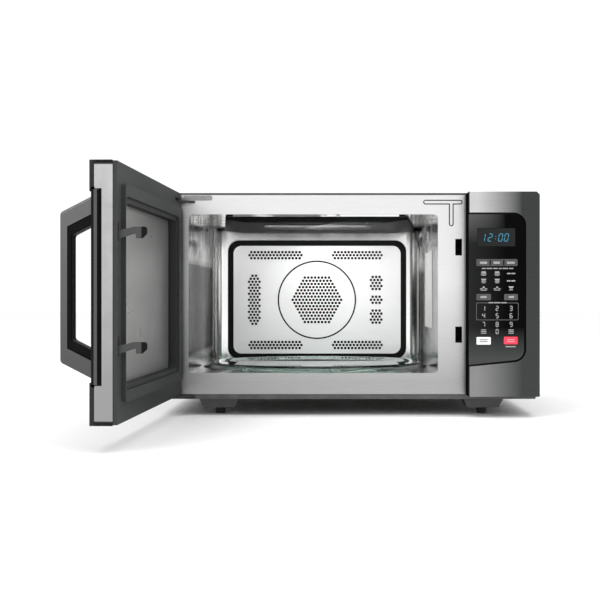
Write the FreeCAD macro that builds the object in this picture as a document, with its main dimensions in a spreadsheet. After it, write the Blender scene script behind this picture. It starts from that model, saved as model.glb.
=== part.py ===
import FreeCAD, Part
import math
import os

import Sketcher

# A countertop convection microwave oven, in millimetres, with its door standing open.
# Cabinet frame: x = 0 in the middle of the cabinet, y = 0 at the face of the front plate (+y to the
# rear), z = 0 at the table. Door frame: the origin is on the hinge axis at z = 0, +x runs towards the
# free edge and +y towards the cavity when the door is shut. Every sub-part is drawn in one of these two
# frames, or in a frame of its own on its spin axis, and its Placement puts it in the oven.

DIMENSIONS = {
    # the part's origin, under the middle of the whole oven with the door open
    "row_x": 25.2, "row_y": 0,
    # cabinet
    "half_width": 276, "height": 326, "depth": 451, "sheet": 1, "cover_bottom": 26, "cover_radius": 6,
    "cover_rear": 446.6, "rear_face": 448, "louvre_count": 16, "louvre_pitch": 8, "louvre_front": 290,
    "louvre_wide": 3.2, "louvre_low": 215, "louvre_high": 265,
    # base and feet
    "base_bottom": 24, "base_lip": 31, "base_inset": 0.4, "bulge_bottom": 10, "bulge_half": 30,
    "bulge_taper": 7, "bulge_front": 18, "bulge_rear": 64, "foot_left": -191, "foot_right": 200,
    "foot_front": 41, "foot_back": 408, "foot_radius": 7.5, "foot_stem": 3, "foot_stem_long": 3,
    # front plate
    "plate": 1.2, "plate_bottom": 31.2, "plate_top": 322.8, "hem_rear": 12, "groove_deep": 0.6,
    "groove_half": 3.5, "groove_wide": 1.6, "groove_left": 110, "groove_right": 168,
    "groove_level": 312.5, "groove_stem": 151.2, "groove_stem_low": 277,
    "slot_left": 157.1, "slot_right": 166.9, "upper_slot_low": 234.3,
    "upper_slot_high": 258.7, "lower_slot_low": 106.4, "lower_slot_high": 130.1,
    "bay_left": 184, "bay_right": 266, "bay_low": 48, "bay_high": 308,
    # cavity
    "liner": 1, "cavity_left": -234, "cavity_right": 131.5, "cavity_mid": -51.25, "cavity_back": 372,
    "cavity_floor": 62, "cavity_top": 294.6, "mouth_radius": 6, "corner_radius": 25,
    "pan_radius": 180, "pan_floor": 46, "pan_hole": 8, "ceiling_lip": 3.1,
    # fan baffle in the rear wall
    "channel_left": -209, "channel_right": 106, "channel_low": 64, "channel_high": 274,
    "channel_radius": 20, "channel_deep": 13, "plateau_inset": 10, "plateau_radius": 14,
    "fan_x": -51.8, "fan_z": 168.8, "ring_radius": 68, "ring_half": 1.3, "ring_deep": 0.4,
    "hole_radius": 2.35, "hole_pitch": 6.1, "hole_row": 5.3, "hexagon_row": 5.6, "strip_left": 73.1, "strip_right": 71.4,
    "strip_high": 247.6, "strip_low": 89, "side_column": 110.6, "side_cluster": 29.7,
    # convection heater and fan
    "housing_half": 92, "housing_back": 412, "housing_radius": 24, "element_radius": 76,
    "element_tube": 3.3, "element_y": 397, "element_gap": 12, "fan_front": 389, "fan_rear": 405,
    "fan_tip": 58, "fan_hub": 11, "fan_blades": 8, "fan_shaft": 3, "fan_shaft_end": 443,
    "fan_motor_half": 26, "fan_motor_front": 414, "fan_motor_rear": 442, "running_gap": 0.06,
    # grill in the ceiling
    "guard_mid": -47, "guard_bottom": 286, "guard_edge": 290, "guard_front": 54, "guard_rear": 367.5,
    "guard_front_half": 137.5, "guard_rear_half": 166.5, "guard_slope": 34, "guard_slope_ends": 8,
    "guard_slots": 9, "guard_slot_pitch": 22, "guard_slot_first": 96, "guard_slot_wide": 8,
    "guard_slot_half": 85, "tab_half": 4.8, "tab_x": 126.5, "tab_reach": 8, "tab_low": 291.4,
    "grill_half": 115, "grill_front": 72, "grill_rear": 330, "reflector_top": 311,
    "grill_tube": 3.3, "grill_leg": 60, "grill_level": 298,
    # waveguide and magnetron
    "guide_front": 104, "guide_rear": 262, "guide_low": 125, "guide_high": 246, "guide_face": 160,
    "mica": 0.6, "tube_y": 190, "tube_z": 186, "antenna_radius": 8, "antenna_tip": 144,
    "yoke_half_y": 40, "yoke_half_z": 36, "yoke_end": 220, "yoke_wall": 2, "anode_radius": 19,
    "fin_count": 6, "fin_pitch": 8, "fin_thick": 0.8, "filter_half": 26, "filter_end": 250,
    # power supply
    "core_left": 168, "core_right": 258, "core_front": 92, "core_rear": 168, "core_high": 100,
    "coil_out": 10, "foot_plate": 2, "can_x": 232, "can_z": 52, "can_radius": 17, "can_flat": 12,
    "can_front": 200, "can_rear": 290, "diode_x": 160, "diode_y": 215, "diode_z": 60,
    "board_thick": 1.6, "filter_board_z": 262, "filter_board_front": 280, "filter_board_rear": 390,
    "filter_board_left": 160, "filter_board_right": 255,
    # cooling fan
    "duct_left": 150, "duct_right": 262, "duct_low": 126, "duct_high": 238, "duct_front": 264,
    "shroud_front": 404, "shroud_rear": 424, "blower_x": 206, "blower_z": 182, "blower_tip": 47,
    "blower_bore": 50, "blower_hub": 13, "blower_blades": 5, "blower_front": 407, "blower_back": 420,
    "blower_shaft": 2, "blower_shaft_end": 444, "blower_motor_half": 22, "blower_motor_front": 428,
    # turntable
    "table_y": 190, "tray_radius": 170, "tray_low": 63.4, "tray_glass": 4, "tray_flat": 148,
    "rim_low": 65.9, "rim_high": 70.4, "rim_inner": 163, "hub_radius": 10, "hub_low": 49,
    "lobe_long": 19, "lobe_half": 4, "drive_shaft": 3, "table_motor_radius": 24,
    "table_motor_low": 25.8, "roller_radius": 8.4, "roller_wide": 8, "roller_orbit": 118,
    "roller_gap": 0.3, "roller_bore": 2.08, "axle_radius": 2, "ring_inner": 92, "ring_outer": 100,
    "ring_low": 51, "ring_high": 58, "roller_angle": -73.5,
    # control panel
    "panel_left": 172.5, "panel_right": 275, "panel_face": -37, "panel_low": 30, "panel_high": 325,
    "panel_wall": 2.5, "panel_chamfer": 4, "recess_deep": 3, "insert_right": 255, "insert_low": 73.4,
    "insert_low_right": 81.5, "insert_high": 294.7, "insert_radius": 18, "insert_gap": 2.6,
    "insert_thick": 2.3, "display_left": 185, "display_right": 240, "display_low": 246,
    "display_high": 272.5, "keypad_left": 187, "keypad_right": 244, "keypad_low": 92,
    "keypad_high": 238, "board_left": 178, "board_right": 268, "board_low": 52, "board_high": 302,
    "board_y": -22,
    # door, in its own frame
    "pivot_x": -258, "pivot_y": -22, "door_angle": 92, "door_hinge_side": -18, "door_free_edge": 428.5,
    "door_outer": -15, "door_inner": 14, "door_low": 30.5, "door_high": 325, "skin": 3.6, "skin_proud": 2, "lip": 3, "overlap": 5,
    "frame_wall": 3, "frame_back": 9, "glass_left": 2, "glass_thick": 4, "glass_return": -3.3,
    "return_wide": 6, "window_left": 41,
    "window_right": 400.5, "window_low": 73.5, "window_high": 281, "window_level": 4.5, "screen_margin": 11,
    "window_thick": 1.5, "choke_left": 1, "choke_right": 404.5, "choke_low": 54.5,
    "choke_high": 301, "choke_face": 19, "choke_radius": 8, "step_wide": 6, "step_level": 15.5, "liner_edge": -13.5,
    # hinge
    "arm_low": 311, "arm_thick": 3, "eye_radius": 8, "pin_radius": 3, "bracket_left": -240,
    "bracket_right": -224, "bar_left": -247, "bar_right": -199, "bar_low": 315, "bar_high": 322.2, "bar_dip": 6,
    "bracket_thick": 1.5, "notch_right": 38, "notch_inner": -9.5, "notch_gap": 1.5, "boss_half": 8,
    "foot_arm_low": 26.8, "pin_hold": 5, "foot_boss": 8,
    # handle
    "handle_left": 387, "handle_right": 411, "handle_mid": 183.8, "handle_root": 104,
    "handle_grip": 84, "handle_out": 39.2, "shell_thick": 8.3, "shell_root": 20, "insert_root": 12,
    "grip_thick": 12.9, "handle_corner": 5, "screw_radius": 2, "screw_head": 4, "screw_drop": 11,
    # latch
    "hook_left": 418, "hook_right": 422, "hook_reach": 46, "hook_foot": 5, "hook_step": -128,
    "bar_thick": 8, "guide_gap": 0.4, "latch_low": 96, "latch_high": 262, "hook_root_low": 237.8,
    "hook_root_high": 247, "hook_arm": 244.2, "hook_top": 251.2, "hook_bottom": 238.3,
    "barb_front": 33.5, "keeper_gap": 0.6, "keeper_tall": 7,
    "latch_travel": 5, "spring_radius": 3.2, "spring_wire": 0.7, "spring_turns": 7,
    "spring_long": 28, "board_box_left": 153, "board_box_right": 171, "board_box_rear": 34,
    "plunger_x": 162, "plunger_z": 245, "plunger_y": 24.8, "plunger_radius": 1.5,
    "plunger_long": 14, "switch_half": 5, "switch_tall": 14, "switch_deep": 16,
}


class Size:
    """A length that carries its number and the spreadsheet expression that it comes from."""

    def __init__(self, number, text=None):
        self.number = float(number)
        self.text = text or f"({self.number!r})"

    def __add__(self, other):
        other = sized(other)
        return Size(self.number + other.number, f"({self.text} + {other.text})")

    def __sub__(self, other):
        other = sized(other)
        return Size(self.number - other.number, f"({self.text} - {other.text})")

    def __mul__(self, other):
        other = sized(other)
        return Size(self.number * other.number, f"({self.text} * {other.text})")

    def __truediv__(self, other):
        other = sized(other)
        return Size(self.number / other.number, f"({self.text} / {other.text})")

    def __radd__(self, other):
        return sized(other) + self

    def __rsub__(self, other):
        return sized(other) - self

    def __rmul__(self, other):
        return sized(other) * self

    def __neg__(self):
        return sized(0) - self


def sized(value):
    return value if isinstance(value, Size) else Size(value)


class Sizes:
    """The spreadsheet's cells as attributes."""


def fill_sheet(doc):
    sheet = doc.addObject("Spreadsheet::Sheet", "Sizes")
    cells = Sizes()
    for row, (name, value) in enumerate(DIMENSIONS.items(), 1):
        sheet.set(f"A{row}", name)
        sheet.set(f"B{row}", str(value))
        sheet.setAlias(f"B{row}", name)
        setattr(cells, name, Size(value, f"Sizes.{name}"))
    doc.recompute()
    return cells


doc = FreeCAD.newDocument("microwave_oven")
d = fill_sheet(doc)
pieces = []
checked_cuts = []

PLANES = {"x": ("YZ_Plane", 1), "y": ("XZ_Plane", -1), "z": ("XY_Plane", 1)}
PAST = 1  # how far a cutting shape runs past the face that it cuts


def bind(thing, name, size):
    thing.setExpression(name, sized(size).text)


def place(thing, x=0, y=0, z=0, axis=(0, 0, 1), angle=0):
    """Puts a finished sub-part in the oven: x, y and z are in the cabinet frame."""
    turn = FreeCAD.Rotation(FreeCAD.Vector(*axis), sized(angle).number)
    thing.Placement = FreeCAD.Placement(FreeCAD.Vector(), turn)
    bind(thing, "Placement.Base.x", d.row_x + x)
    bind(thing, "Placement.Base.y", d.row_y + y)
    bind(thing, "Placement.Base.z", z)
    if sized(angle).number:
        bind(thing, "Placement.Rotation.Angle", angle)
    pieces.append(thing)
    return thing


def place_on_door(thing):
    turn = FreeCAD.Rotation(FreeCAD.Vector(0, 0, -1), d.door_angle.number)
    thing.Placement = FreeCAD.Placement(FreeCAD.Vector(), turn)
    bind(thing, "Placement.Base.x", d.row_x + d.pivot_x)
    bind(thing, "Placement.Base.y", d.row_y + d.pivot_y)
    bind(thing, "Placement.Rotation.Angle", d.door_angle)
    pieces.append(thing)
    return thing


# ---- outlines for sketches -------------------------------------------------------------------------


def fix_point(sketch, geometry, point, x, y):
    """Ties a sketch point to the sketch's origin by two dimensions from the sheet."""
    for kind, size, axis in (("DistanceX", sized(x), -2), ("DistanceY", sized(y), -1)):
        if abs(size.number) < 1e-9:
            sketch.addConstraint(Sketcher.Constraint("PointOnObject", geometry, point, axis))
            continue
        index = sketch.addConstraint(Sketcher.Constraint(kind, -1, 1, geometry, point, size.number))
        sketch.setExpression(f"Constraints[{index}]", size.text)


def fix_radius(sketch, geometry, radius):
    index = sketch.addConstraint(Sketcher.Constraint("Radius", geometry, sized(radius).number))
    sketch.setExpression(f"Constraints[{index}]", sized(radius).text)


def polygon(*points):
    """An outline through points, each an (x, y) pair of the sketch."""

    def draw(sketch):
        corners = [FreeCAD.Vector(sized(x).number, sized(y).number, 0) for x, y in points]
        count = len(points)
        lines = [
            sketch.addGeometry(Part.LineSegment(corners[n], corners[(n + 1) % count]), False)
            for n in range(count)
        ]
        for n, line in enumerate(lines):
            sketch.addConstraint(Sketcher.Constraint("Coincident", line, 2, lines[(n + 1) % count], 1))
            fix_point(sketch, line, 1, *points[n])

    return draw


def rectangle(left, right, low, high):
    return polygon((left, low), (right, low), (right, high), (left, high))


def circle(x, y, radius):
    def draw(sketch):
        centre = FreeCAD.Vector(sized(x).number, sized(y).number, 0)
        ring = Part.Circle(centre, FreeCAD.Vector(0, 0, 1), sized(radius).number)
        geometry = sketch.addGeometry(ring, False)
        fix_point(sketch, geometry, 3, x, y)
        fix_radius(sketch, geometry, radius)

    return draw


def rounded(left, right, low, high, radius):
    """A rectangle with four equal round corners."""
    left, right, low, high, radius = (sized(s) for s in (left, right, low, high, radius))

    def draw(sketch):
        centres = [
            (right - radius, high - radius, 0),
            (left + radius, high - radius, 1),
            (left + radius, low + radius, 2),
            (right - radius, low + radius, 3),
        ]
        arcs = []
        for x, y, quarter in centres:
            ring = Part.Circle(
                FreeCAD.Vector(x.number, y.number, 0), FreeCAD.Vector(0, 0, 1), radius.number
            )
            start = quarter * math.pi / 2
            arcs.append(sketch.addGeometry(Part.ArcOfCircle(ring, start, start + math.pi / 2), False))
        for n, (x, y, _) in enumerate(centres):
            fix_point(sketch, arcs[n], 3, x, y)
            fix_radius(sketch, arcs[n], radius)
        for n, arc in enumerate(arcs):
            following = arcs[(n + 1) % 4]
            ends = [sketch.getPoint(arc, 2), sketch.getPoint(following, 1)]
            line = sketch.addGeometry(Part.LineSegment(*ends), False)
            sketch.addConstraint(Sketcher.Constraint("Tangent", arc, 2, line, 1))
            sketch.addConstraint(Sketcher.Constraint("Tangent", line, 2, following, 1))

    return draw


# ---- sub-parts made as PartDesign bodies -----------------------------------------------------------


class Piece:
    """One sub-part as a PartDesign body; axis names the direction that a sketch is drawn out along."""

    def __init__(self, label):
        self.body = doc.addObject("PartDesign::Body", label)
        self.body.Label = label

    def origin(self, role):
        return next(item for item in self.body.Origin.OriginFeatures if item.Role == role)

    def sketch(self, axis, level, outlines):
        role, sense = PLANES[axis]
        sketch = self.body.newObject("Sketcher::SketchObject", self.body.Name + "_sketch")
        sketch.AttachmentSupport = [(self.origin(role), "")]
        sketch.MapMode = "FlatFace"
        bind(sketch, "AttachmentOffset.Base.z", sized(level) * sense)
        for outline in outlines:
            outline(sketch)
        return sketch

    def pad(self, axis, low, high, *outlines):
        start = high if axis == "y" else low
        pad = self.body.newObject("PartDesign::Pad", self.body.Name + "_pad")
        pad.Profile = self.sketch(axis, start, outlines)
        bind(pad, "Length", high - low)
        return pad

    def pocket(self, axis, low, high, *outlines):
        start = low if axis == "y" else high
        pocket = self.body.newObject("PartDesign::Pocket", self.body.Name + "_pocket")
        pocket.Profile = self.sketch(axis, start, outlines)
        bind(pocket, "Length", high - low)
        checked_cuts.append(pocket)
        return pocket

    def revolve(self, *outlines):
        """Turns outlines of the XZ plane about the body's own Z axis."""
        turn = self.body.newObject("PartDesign::Revolution", self.body.Name + "_turn")
        turn.Profile = self.sketch("y", 0, outlines)
        turn.ReferenceAxis = (self.origin("Z_Axis"), [""])
        turn.Angle = 360
        return turn

    def loft(self, axis, *sections, cutting=False):
        """Joins outlines at several levels by straight sides, or cuts the shape between them away."""
        kind = "PartDesign::SubtractiveLoft" if cutting else "PartDesign::AdditiveLoft"
        sketches = [self.sketch(axis, level, [outline]) for level, outline in sections]
        loft = self.body.newObject(kind, self.body.Name + "_loft")
        loft.Profile = sketches[0]
        loft.Sections = sketches[1:]
        loft.Ruled = True
        if cutting:
            checked_cuts.append(loft)
        return loft

    def repeat(self, feature, axis, spacing, count):
        """Repeats a feature in a row along one of the body's axes."""
        pattern = self.body.newObject("PartDesign::LinearPattern", self.body.Name + "_row")
        pattern.Originals = [feature]
        pattern.Direction = (self.origin(axis + "_Axis"), [""])
        bind(pattern, "Length", spacing * (count - 1))
        bind(pattern, "Occurrences", count)
        self.body.Tip = pattern
        return pattern

    def repeat_round(self, feature, count):
        """Repeats a feature round the body's own Z axis."""
        pattern = self.body.newObject("PartDesign::PolarPattern", self.body.Name + "_round")
        pattern.Originals = [feature]
        pattern.Axis = (self.origin("Z_Axis"), [""])
        pattern.Angle = 360
        bind(pattern, "Occurrences", count)
        self.body.Tip = pattern
        return pattern

    def soften(self, radius, axis, *places, kind="Fillet"):
        """Rounds or chamfers the straight edges along an axis that pass through the given places."""
        doc.recompute()
        base = self.body.Tip
        names = [
            f"Edge{n}"
            for n, edge in enumerate(base.Shape.Edges, 1)
            if runs_through(edge, axis, places)
        ]
        softened = self.body.newObject("PartDesign::" + kind, self.body.Name + "_" + kind.lower())
        softened.Base = (base, names)
        bind(softened, "Radius" if kind == "Fillet" else "Size", radius)
        return softened


def runs_through(edge, axis, places):
    if edge.Curve.TypeId != "Part::GeomLine":
        return False
    number = "xyz".index(axis)
    direction = edge.tangentAt(edge.FirstParameter)
    if abs(abs(direction[number]) - 1) > 1e-6:
        return False
    middle = edge.CenterOfMass
    across = [middle[n] for n in range(3) if n != number]
    return any(
        abs(across[0] - sized(a).number) < 0.01 and abs(across[1] - sized(b).number) < 0.01
        for a, b in places
    )


# ---- sub-parts made from primitives ----------------------------------------------------------------


def block(left, right, front, rear, low, high):
    box = doc.addObject("Part::Box", "block")
    bind(box, "Length", right - left)
    bind(box, "Width", rear - front)
    bind(box, "Height", high - low)
    bind(box, "Placement.Base.x", left)
    bind(box, "Placement.Base.y", front)
    bind(box, "Placement.Base.z", low)
    return box


def rod(axis, x, y, z, radius, length):
    """A cylinder from a point along +x, +y or +z."""
    cylinder = doc.addObject("Part::Cylinder", "rod")
    turns = {
        "x": FreeCAD.Rotation(FreeCAD.Vector(0, 1, 0), 90),
        "y": FreeCAD.Rotation(FreeCAD.Vector(1, 0, 0), -90),
        "z": FreeCAD.Rotation(),
    }
    cylinder.Placement = FreeCAD.Placement(FreeCAD.Vector(), turns[axis])
    bind(cylinder, "Radius", radius)
    bind(cylinder, "Height", length)
    bind(cylinder, "Placement.Base.x", x)
    bind(cylinder, "Placement.Base.y", y)
    bind(cylinder, "Placement.Base.z", z)
    return cylinder


def fuse(label, *parts):
    joined = doc.addObject("Part::MultiFuse", label)
    joined.Label = label
    joined.Shapes = list(parts)
    joined.Refine = True
    return joined


def cut(label, base, *tools):
    tool = tools[0] if len(tools) == 1 else fuse(label + "_tools", *tools)
    remaining = doc.addObject("Part::Cut", label)
    remaining.Label = label
    remaining.Base = base
    remaining.Tool = tool
    remaining.Refine = True
    return remaining


def group(label, parts):
    """Separate solids in one sub-part, for identical fasteners and feet."""
    gathered = doc.addObject("Part::Compound", label)
    gathered.Label = label
    gathered.Links = list(parts)
    return gathered


def computed(label, shape):
    feature = doc.addObject("Part::Feature", label)
    feature.Label = label
    feature.Shape = shape
    return feature


# ---- cabinet ---------------------------------------------------------------------------------------


def outer_cover():
    piece = Piece("outer_cover")
    outer = d.half_width
    inner = d.half_width - d.sheet
    ceiling = d.height - d.sheet
    piece.pad(
        "y",
        d.plate + 0.1,
        d.cover_rear,
        polygon(
            (-outer, d.cover_bottom), (-inner, d.cover_bottom), (-inner, ceiling), (inner, ceiling),
            (inner, d.cover_bottom), (outer, d.cover_bottom), (outer, d.height), (-outer, d.height),
        ),
    )
    piece.soften(d.cover_radius, "y", (-outer, d.height), (outer, d.height))
    piece.soften(d.cover_radius - d.sheet, "y", (-inner, ceiling), (inner, ceiling))
    hem = rectangle(-inner + d.cover_radius, inner - d.cover_radius, d.plate_top + 0.1, ceiling)
    piece.pad("y", d.plate + 0.1, d.hem_rear, hem)
    louvre = piece.pocket(
        "x",
        -outer - PAST,
        outer + PAST,
        rounded(
            d.louvre_front, d.louvre_front + d.louvre_wide, d.louvre_low, d.louvre_high,
            d.louvre_wide / 2 - 0.05,
        ),
    )
    piece.repeat(louvre, "Y", d.louvre_pitch, d.louvre_count)
    place(piece.body)


def rear_panel():
    piece = Piece("rear_panel")
    edge = d.half_width - d.sheet
    piece.pad("y", d.cover_rear, d.rear_face, rectangle(-edge, edge, d.base_bottom + 3, d.height - 2))
    slot = rounded(d.blower_x - 42, d.blower_x - 38, d.blower_z - 40, d.blower_z + 40, 1.9)
    vent = piece.pocket("y", d.cover_rear - PAST, d.rear_face + PAST, slot)
    piece.repeat(vent, "X", Size(8), Size(11))
    left_slot = rounded(d.fan_x - 42, d.fan_x - 38, d.fan_z - 40, d.fan_z + 40, 1.9)
    left_vent = piece.pocket("y", d.cover_rear - PAST, d.rear_face + PAST, left_slot)
    piece.repeat(left_vent, "X", Size(8), Size(11))
    piece.pocket("y", d.cover_rear - PAST, d.rear_face + PAST, circle(*GLAND_PLACE, GLAND_HOLE))
    place(piece.body)


GLAND_PLACE = (sized(236), sized(58))
GLAND_HOLE = sized(7)


def cord_gland():
    x, z = GLAND_PLACE
    flange = rod("y", x, d.rear_face, z, 11, d.depth - d.rear_face)
    neck = rod("y", x, d.rear_face - 12, z, GLAND_HOLE, 12)
    bore = rod("y", x, d.rear_face - 14, z, 4, 20)
    place(cut("cord_gland", fuse("gland_body", flange, neck), bore))


def bulge_centres():
    return [(x, y) for x in (d.foot_left, d.foot_right) for y in (d.foot_front, d.foot_back)]


def base_plate():
    piece = Piece("base_plate")
    edge = d.half_width - d.sheet - d.base_inset
    rear = d.cover_rear - 0.5
    piece.pad("z", d.base_bottom, d.base_lip, rectangle(-edge, edge, 0.2, rear))
    for x, y in bulge_centres():
        front = y - (d.bulge_rear - d.bulge_front) / 2
        half = d.bulge_half
        piece.pad(
            "y",
            front,
            front + d.bulge_rear - d.bulge_front,
            polygon(
                (x - half, d.base_bottom), (x - half + d.bulge_taper, d.bulge_bottom),
                (x + half - d.bulge_taper, d.bulge_bottom), (x + half, d.base_bottom),
            ),
        )
    piece.pocket(
        "z",
        d.base_bottom + d.sheet,
        d.base_lip + PAST,
        rectangle(-edge + d.sheet, edge - d.sheet, 0.2 + d.sheet, rear - d.sheet),
    )
    for x, y in bulge_centres():
        front = y - (d.bulge_rear - d.bulge_front) / 2
        half = d.bulge_half - d.sheet
        floor = d.bulge_bottom + d.sheet
        piece.pocket(
            "y",
            front + d.sheet,
            front + d.bulge_rear - d.bulge_front - d.sheet,
            polygon(
                (x - half, d.base_bottom + d.sheet + 0.2), (x - half + d.bulge_taper, floor),
                (x + half - d.bulge_taper, floor), (x + half, d.base_bottom + d.sheet + 0.2),
            ),
        )
    piece.pocket(
        "z",
        d.bulge_bottom - PAST,
        d.bulge_bottom + d.sheet + PAST,
        *[circle(x, y, d.foot_stem) for x, y in bulge_centres()],
    )
    place(piece.body)


def feet():
    made = []
    for x, y in bulge_centres():
        pad = rod("z", x, y, 0, d.foot_radius, d.bulge_bottom)
        stem = rod("z", x, y, d.bulge_bottom, d.foot_stem, d.foot_stem_long)
        made.append(fuse("foot", pad, stem))
    place(group("feet", made))


def arc_points(x, z, radius, start, stop, steps=8):
    """Points along an arc, from one angle to another in degrees."""
    angles = [math.radians(start + (stop - start) * n / steps) for n in range(steps + 1)]
    return [(x + radius * math.cos(angle), z + radius * math.sin(angle)) for angle in angles]


def t_outline(inset):
    """A T with round ends, drawn in from its full size."""
    half, level, stem = d.groove_half - inset, d.groove_level, d.groove_stem
    reach = d.groove_half
    return polygon(
        *arc_points(stem, d.groove_stem_low + reach, half, 180, 360),
        (stem + half, level - half),
        *arc_points(d.groove_right - reach, level, half, -90, 90),
        *arc_points(d.groove_left + reach, level, half, 90, 270),
        (stem - half, level - half),
    )


def front_plate():
    piece = Piece("front_plate")
    edge = d.half_width
    piece.pad("y", sized(0), d.plate, rectangle(-edge, edge, d.plate_bottom, d.plate_top))
    piece.soften(d.cover_radius, "y", (-edge, d.plate_top), (edge, d.plate_top))
    piece.pocket(
        "y",
        sized(0) - PAST,
        d.plate + PAST,
        rounded(d.cavity_left, d.cavity_right, d.cavity_floor, d.cavity_top, d.mouth_radius),
        rectangle(d.bay_left, d.bay_right, d.bay_low, d.bay_high),
        rectangle(d.slot_left, d.slot_right, d.upper_slot_low, d.upper_slot_high),
        rectangle(d.slot_left, d.slot_right, d.lower_slot_low, d.lower_slot_high),
    )
    trench = (t_outline(sized(0)), t_outline(d.groove_wide))
    piece.pocket("y", sized(0) - PAST, d.groove_deep, *trench)
    place(piece.body)


# ---- cavity ----------------------------------------------------------------------------------------


def cavity_plan(grow=0):
    """The cavity's plan, with its front cut off afterwards so that only the rear corners are round."""
    return rounded(
        d.cavity_left - grow,
        d.cavity_right + grow,
        sized(-60),
        d.cavity_back + grow,
        d.corner_radius + grow,
    )


def cut_front(piece, low, high):
    front = d.plate + 0.1
    outline = rectangle(d.cavity_left - 5, d.cavity_right + 5, sized(-65), front)
    piece.pocket("z", low, high, outline)


def cavity_wrapper():
    """The side walls, rear wall and ceiling, welded into one shell, with a hem at the mouth's top."""
    piece = Piece("cavity_wrapper")
    low = d.cavity_floor - d.liner
    high = d.cavity_top + d.liner
    piece.pad("z", low, high, cavity_plan(d.liner))
    piece.pocket("z", low - PAST, d.cavity_top, cavity_plan())
    cut_front(piece, low - PAST, high + PAST)
    middle = d.guard_mid
    half = d.tab_x - d.tab_half
    front = d.plate + 0.1
    hem = rectangle(middle - half, middle + half, front, front + 1)
    piece.pad("z", d.cavity_top - d.ceiling_lip, high, hem)
    window = rectangle(middle - d.grill_half, middle + d.grill_half, d.grill_front, d.grill_rear)
    piece.pocket("z", d.cavity_top - PAST, high + PAST, window)
    piece.pocket(
        "y",
        d.cavity_back - PAST,
        d.cavity_back + d.liner + PAST,
        rounded(d.channel_left, d.channel_right, d.channel_low, d.channel_high, d.channel_radius),
    )
    port = rectangle(d.guide_front + 6, d.guide_rear - 6, d.guide_low + 6, d.guide_high - 6)
    piece.pocket("x", d.cavity_right - PAST, d.cavity_right + d.liner + PAST, port)
    for row in range(4):
        hole = piece.pocket(
            "x",
            d.cavity_right - PAST,
            d.cavity_right + d.liner + PAST,
            circle(58, 262 + 5 * row, 1.5),
        )
        piece.repeat(hole, "Y", Size(5), Size(4))
    place(piece.body)


def cavity_floor():
    piece = Piece("cavity_floor")
    lip = d.cavity_floor - d.liner
    piece.pad("z", lip, d.cavity_floor, cavity_plan())
    cut_front(piece, lip - PAST, d.cavity_floor + PAST)
    centre = (d.cavity_mid, d.table_y)
    below = d.pan_floor - d.liner
    piece.pad("z", below, d.cavity_floor, circle(*centre, d.pan_radius + d.liner))
    piece.pocket("z", d.pan_floor, d.cavity_floor + PAST, circle(*centre, d.pan_radius))
    piece.pocket("z", below - PAST, d.pan_floor + PAST, circle(*centre, d.pan_hole))
    place(piece.body)


def hole_rows(x, z, counts, row_height):
    """Centres of staggered rows of holes about a point; counts gives the holes in each row."""
    pitch = d.hole_pitch.number
    centres = []
    for row, count in enumerate(counts):
        level = z + (row - (len(counts) - 1) / 2) * row_height
        centres += [(x + (n - (count - 1) / 2) * pitch, level) for n in range(count)]
    return centres


def perforation_centres():
    middle = d.fan_x.number
    level = d.fan_z.number
    row = d.hole_row.number
    centres = hole_rows(middle, level, [15 - abs(n) for n in range(-7, 8)], d.hexagon_row.number)
    for z in (d.strip_low.number, d.strip_high.number):
        centres += hole_rows(middle - d.strip_left.number, z, [15, 16, 15], row)
        centres += hole_rows(middle + d.strip_right.number, z, [14, 15, 14], row)
    column = [2] + [3, 4] * 7 + [3, 2]
    centres += hole_rows(middle - d.side_column.number, level, column, row)
    right = middle + d.side_column.number - 6
    cluster = d.side_cluster.number
    centres += hole_rows(right, level, [3, 4, 3], row)
    centres += hole_rows(right, level - cluster, [3, 4, 3, 4, 3], row)
    centres += hole_rows(right, level + cluster, [3, 4, 3, 4, 3], row)
    return centres


def fan_baffle():
    stamping = Piece("fan_baffle_stamping")
    back = d.cavity_back + d.liner + d.channel_deep
    front = d.cavity_back
    t = d.liner
    channel = (d.channel_left, d.channel_right, d.channel_low, d.channel_high)
    grown = (channel[0] - t, channel[1] + t, channel[2] - t, channel[3] + t)
    inset = d.plateau_inset
    plateau = (channel[0] + inset, channel[1] - inset, channel[2] + inset, channel[3] - inset)
    hollow = (plateau[0] + t, plateau[1] - t, plateau[2] + t, plateau[3] - t)
    stamping.pad("y", front + t, back, rounded(*grown, d.channel_radius + t))
    stamping.pocket("y", front, back - t, rounded(*channel, d.channel_radius))
    stamping.pad("y", front, back, rounded(*plateau, d.plateau_radius))
    stamping.pocket("y", front + t, back + PAST, rounded(*hollow, d.plateau_radius - t))
    stamping.pocket(
        "y",
        front - PAST,
        front + d.ring_deep,
        circle(d.fan_x, d.fan_z, d.ring_radius + d.ring_half),
        circle(d.fan_x, d.fan_z, d.ring_radius - d.ring_half),
    )
    pins = [
        Part.makeCylinder(
            d.hole_radius.number,
            6,
            FreeCAD.Vector(x, front.number - 2, z),
            FreeCAD.Vector(0, 1, 0),
        )
        for x, z in perforation_centres()
    ]
    holes = computed("fan_baffle_holes", Part.makeCompound(pins))
    place(cut("fan_baffle", stamping.body, holes))


def convection_housing():
    piece = Piece("convection_housing")
    back = d.housing_back
    front = d.cavity_back + d.liner + d.channel_deep
    half = d.housing_half
    t = d.liner
    x, z = d.fan_x, d.fan_z
    piece.pad("y", front, back, rounded(x - half, x + half, z - half, z + half, d.housing_radius))
    piece.pocket(
        "y",
        front - PAST,
        back - t,
        rounded(x - half + t, x + half - t, z - half + t, z + half - t, d.housing_radius - t),
    )
    piece.pocket("y", back - t - PAST, back + PAST, circle(x, z, 5))
    piece.pocket(
        "y",
        back - t - PAST,
        back + PAST,
        circle(x - d.element_gap, z + d.element_radius, 4.5),
        circle(x + d.element_gap, z + d.element_radius, 4.5),
    )
    place(piece.body)


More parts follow.
